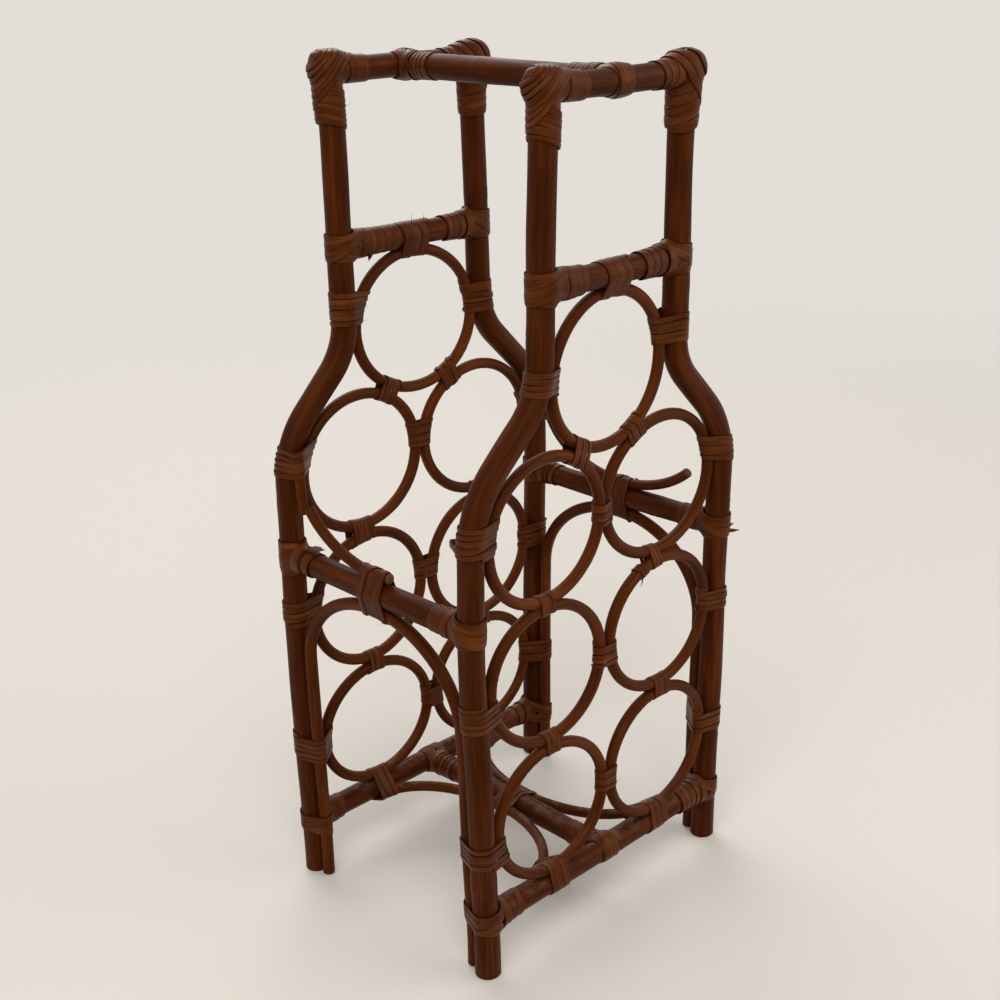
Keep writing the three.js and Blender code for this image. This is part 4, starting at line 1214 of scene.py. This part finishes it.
# %% Rail end lashings
# The width of the slanting turns, the height they spread over, their feet, and the turns round the rail.
NECK_ENDS = {
    "front_left": (7.0, 23.0, (2.0, 12.0), (11.0, 26.0, 8.0)),
    "front_right": (6.0, 20.0, (3.0, 10.0), (6.0, 33.0, 9.0)),
    "back_left": (5.5, 21.0, (2.0, 9.0), (8.0, 44.0, 9.0)),
    "back_right": (6.0, 22.0, (2.0, 9.0), (5.0, 30.0, 8.0)),
}
SIDE_ENDS = {
    "front_left": (6.5, 21.0, (2.0, 12.0), (6.0, 23.0, 8.5)),
    "front_right": (6.0, 20.0, (2.0, 10.0), (6.0, 23.0, 8.0)),
    "back_left": (12.0, 26.0, (1.0, 8.0), (6.0, 24.0, 13.0)),
    "back_right": (6.5, 20.0, (2.0, 10.0), (6.0, 24.0, 7.0)),
}
FOOT_ENDS = {
    "front_left": (4.6, 15.5, (2.0, 9.0), (4.0, 24.0, 9.0)),
    "front_right": (4.6, 15.5, (2.0, 9.0), (3.0, 31.0, 7.0)),
    "back_left": (4.6, 15.5, (2.0, 9.0), (5.0, 17.0, 10.0)),
    "back_right": (4.6, 15.5, (2.0, 9.0), (5.0, 17.0, 10.0)),
}
HANDLE_ENDS = {
    "front": (13.0, 16.0, (2.0, 8.0), (4.0, 26.0, 4.6)),
    "back": (4.4, 16.0, (2.0, 8.0), (4.0, 26.0, 4.6)),
}
STRETCHER_END = (5.0, 18.0, (2.0, 8.0), (4.0, 25.0, 5.2))
# The neck lashings and the front right foot's lie on older layers that run far along their rails.
NECK_FAT, NECK_FAT_TO = {"front": 1.4, "back": 0.9}, 70.0
FOOT_FAT, FOOT_FAT_TO = {"front_right": 1.4}, 60.0

for panel, y in PANELS.items():
    inward = -np.sign(y) * DEPTH_WAY
    for hand, side in SIDES.items():
        corner = f"{panel}_{hand}"
        across = -side * SIDE_WAY
        rail_end(f"{corner}_neck_lashing", (side * NECK_X, y, NECK_Z[panel]), across, UP_WAY,
                 *NECK_ENDS[corner], rail_fat=NECK_FAT[panel], on_rail=NECK_FAT_TO)
        rail_end(f"{hand}_{panel}_side_lashing", (side * LEG_X, y, SIDE_Z[hand]), inward, UP_WAY,
                 *SIDE_ENDS[corner], rail_r=SIDE_R[hand])
        rail_end(f"{corner}_foot_lashing", (side * LEG_X, y, BOTTOM_Z), across, UP_WAY,
                 *FOOT_ENDS[corner], beside=side * np.sign(y) * (PANEL_Y - ARCH_Y),
                 rail_fat=FOOT_FAT.get(corner, 0.0), on_rail=FOOT_FAT_TO)
    rail_end(f"{panel}_handle_lashing", (0, y, TOP_Z), inward, SIDE_WAY,
             *HANDLE_ENDS[panel], post_r=RAIL_R, rail_r=HANDLE_R, out=-RAIL_R)
    rail_end(f"{panel}_stretcher_lashing", (0, y, BOTTOM_Z), inward, SIDE_WAY,
             *STRETCHER_END, post_r=RAIL_R, out=-RAIL_R)
print("lashings and ties in all:", made("cane"))

# %% [markdown]
# ## Broken ends
#
# Old cane grows brittle. Here and there a strip has snapped, and its end stands off the lashing, frayed.
# Each such end is a short strip that leaves its tie at a root and bends to a tip. One tie has lost most
# of its turns, so a remnant stays on the lower hoop.

# %% Broken ends
# A broken strip's thickness in mm, the share of its width at the tip, and its sag's share of its length.
BROKEN_T, BROKEN_TIP, BROKEN_SAG = 0.6, 0.12, 0.1
BROKEN_STEP, BROKEN_POINTS = 0.8, 13
TOWARDS_FRONT = np.array([-0.5, -0.8, 0.3])


def broken(name, ends, width, out=TOWARDS_FRONT):
    """Strips from root to tip that narrow evenly to a point. At the share s of the way they hang below
    the straight line by a tenth of its length x (s - s^2). Their flat side faces `out`."""
    rng = seeded(name)
    s = np.linspace(0.0, 1.0, BROKEN_POINTS)[:, None]
    parts = []
    for root, tip in np.asarray(ends, dtype=float):
        path = root + s * (tip - root) + BROKEN_SAG * np.linalg.norm(tip - root) * (s ** 2 - s) * UP_WAY
        facing = np.broadcast_to(out, path.shape)
        rings, grain, edge = strip(path, facing, width, rng, step=BROKEN_STEP, thick=BROKEN_T)
        middle = rings.mean(axis=1, keepdims=True)
        narrow = np.linspace(1.0, BROKEN_TIP, len(rings))[:, None, None]
        parts.append((middle + (rings - middle) * narrow, grain, edge))
    return skin(f"cane_{name}", parts, "cane_lashing")


# The remnant lies where its hoop comes nearest to this place, and its turns step along this direction.
REMNANT_NEAR, REMNANT_WAY = (37.0, -PANEL_Y, 279.0), np.array([0.9, 0.0, 0.43])
REMNANT_TURNS, REMNANT_W = 2.4, 3.4
hoop_line = AXES["front_middle_right_hoop"][0]
remnant = hoop_line[np.argmin(np.linalg.norm(hoop_line - REMNANT_NEAR, axis=1))]
tie("front_upper_right_frayed_tie", ["front_middle_right_hoop"], remnant, REMNANT_WAY,
    REMNANT_TURNS, REMNANT_W)
broken("front_upper_right_frayed_ends",
       [(remnant + (0, -4, 1.5), remnant + (-8, -5.5, 11)),
        (remnant + (0, -4, -2), remnant + (-5, -6, -9))], 2.0)
broken("front_right_side_broken_ends",
       [((138, -111, 281), (148, -116, 280)), ((141, -110, 284), (145, -112, 286))], 5.0)
broken("left_back_side_torn_edge",
       [((-135, 86, 293), (-136, 61, 298.5)), ((-131, 82, 293), (-130, 67, 295.5))], 10.0,
       np.array([-0.3, -0.15, 0.9]))
broken("back_neck_hairs", [((-2, 99, 520), (-2.5, 98, 531)), ((10, 99, 520), (10.5, 98, 529))], 0.8)
broken("back_neck_loose_end", [((-44, 99, 507), (-49, 96, 500))], 8.0)
print("cane pieces in all:", made("cane"))

# %% [markdown]
# ## Floor and light
#
# The floor is one large pale sheet that keeps the rack's shadow. Three broad lamps and an even sky give
# soft light at a plain level, so a colour renders about as it is written.

# %% Floor
FLOOR_HALF = 6
# Between these distances from the rack, in metres, the floor gives way to the even background.
FADE_FROM, FADE_TO = 0.6, 2.4

floor_mesh = bpy.data.meshes.new("floor")
floor_corners = [(x * FLOOR_HALF, y * FLOOR_HALF, 0) for x, y in ((-1, -1), (1, -1), (1, 1), (-1, 1))]
floor_mesh.from_pydata(floor_corners, [], [(0, 1, 2, 3)])
floor = bpy.data.objects.new("floor", floor_mesh)
bpy.context.scene.collection.objects.link(floor)
floor_paint = bpy.data.materials.new("pale_floor")
floor_paint.use_nodes = True
tree = floor_paint.node_tree
paint = tree.nodes["Principled BSDF"]
paint.inputs["Base Color"].default_value = colour("#d6cfc6")
paint.inputs["Roughness"].default_value = 0.8
spot = add(tree, "ShaderNodeTexCoord", {}).outputs["Object"]
from_rack = add(tree, "ShaderNodeVectorMath", {0: spot}, operation="LENGTH").outputs["Value"]
far = add(tree, "ShaderNodeMapRange", {"Value": from_rack, "From Min": FADE_FROM, "From Max": FADE_TO},
          interpolation_type="SMOOTHSTEP")
clear = add(tree, "ShaderNodeBsdfTransparent", {})
fade = add(tree, "ShaderNodeMixShader", {0: far.outputs[0], 1: paint.outputs[0], 2: clear.outputs[0]})
tree.links.new(fade.outputs[0], tree.nodes["Material Output"].inputs["Surface"])
floor_mesh.materials.append(floor_paint)
floor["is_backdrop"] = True
print("floor:", 2 * FLOOR_HALF, "m wide")

# %% Lamps
# Each lamp's place and width in metres, and its power in watts. All look at the rack's middle.
LAMPS = {
    "key": ((-1.6, -1.2, 2.2), 2.2, 52.0),
    "fill": ((1.5, -1.8, 1.4), 2.0, 22.0),
    "rim": ((0.8, 1.9, 2.3), 2.2, 46.0),
}
RACK_MIDDLE = np.array([0.0, 0.0, 0.3])

for name, (spot, size, power) in LAMPS.items():
    lamp_data = bpy.data.lights.new(name, "AREA")
    lamp_data.size = size
    lamp_data.energy = power
    back = unit(np.array(spot) - RACK_MIDDLE)
    lamp_right = unit(np.cross(UP_WAY, back))
    stand(bpy.data.objects.new(name, lamp_data), spot, lamp_right, np.cross(back, lamp_right), back)
print("lamps:", len(LAMPS))

# %% Sky
SKY_STRENGTH = 0.5

world = bpy.data.worlds.new("sky")
bpy.context.scene.world = world
world.use_nodes = True
sky = world.node_tree
lit = sky.nodes["Background"]
lit.inputs["Color"].default_value = colour("#e4e3e1")
lit.inputs["Strength"].default_value = SKY_STRENGTH
# The camera, and what is mirrored or seen through, shows an even pale tone behind the rack, whatever the
# light is.
seen = add(sky, "ShaderNodeBackground", {"Color": colour("#e3ded7"), "Strength": 1.0})
rays = add(sky, "ShaderNodeLightPath", {}).outputs
bent = add(sky, "ShaderNodeMath", {0: rays["Is Glossy Ray"], 1: rays["Is Transmission Ray"]},
           operation="MAXIMUM")
looking = add(sky, "ShaderNodeMath", {0: rays["Is Camera Ray"], 1: bent.outputs[0]}, operation="MAXIMUM")
choice = add(sky, "ShaderNodeMixShader", {0: looking.outputs[0], 1: lit.outputs[0], 2: seen.outputs[0]})
sky.links.new(choice.outputs[0], sky.nodes["World Output"].inputs["Surface"])
bpy.context.scene.view_settings.view_transform = "Standard"
print("sky strength:", SKY_STRENGTH)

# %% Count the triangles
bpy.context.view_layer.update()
faces = [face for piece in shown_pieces() if piece.type == "MESH" for face in piece.data.polygons]
print("triangles:", sum(len(face.vertices) - 2 for face in faces))
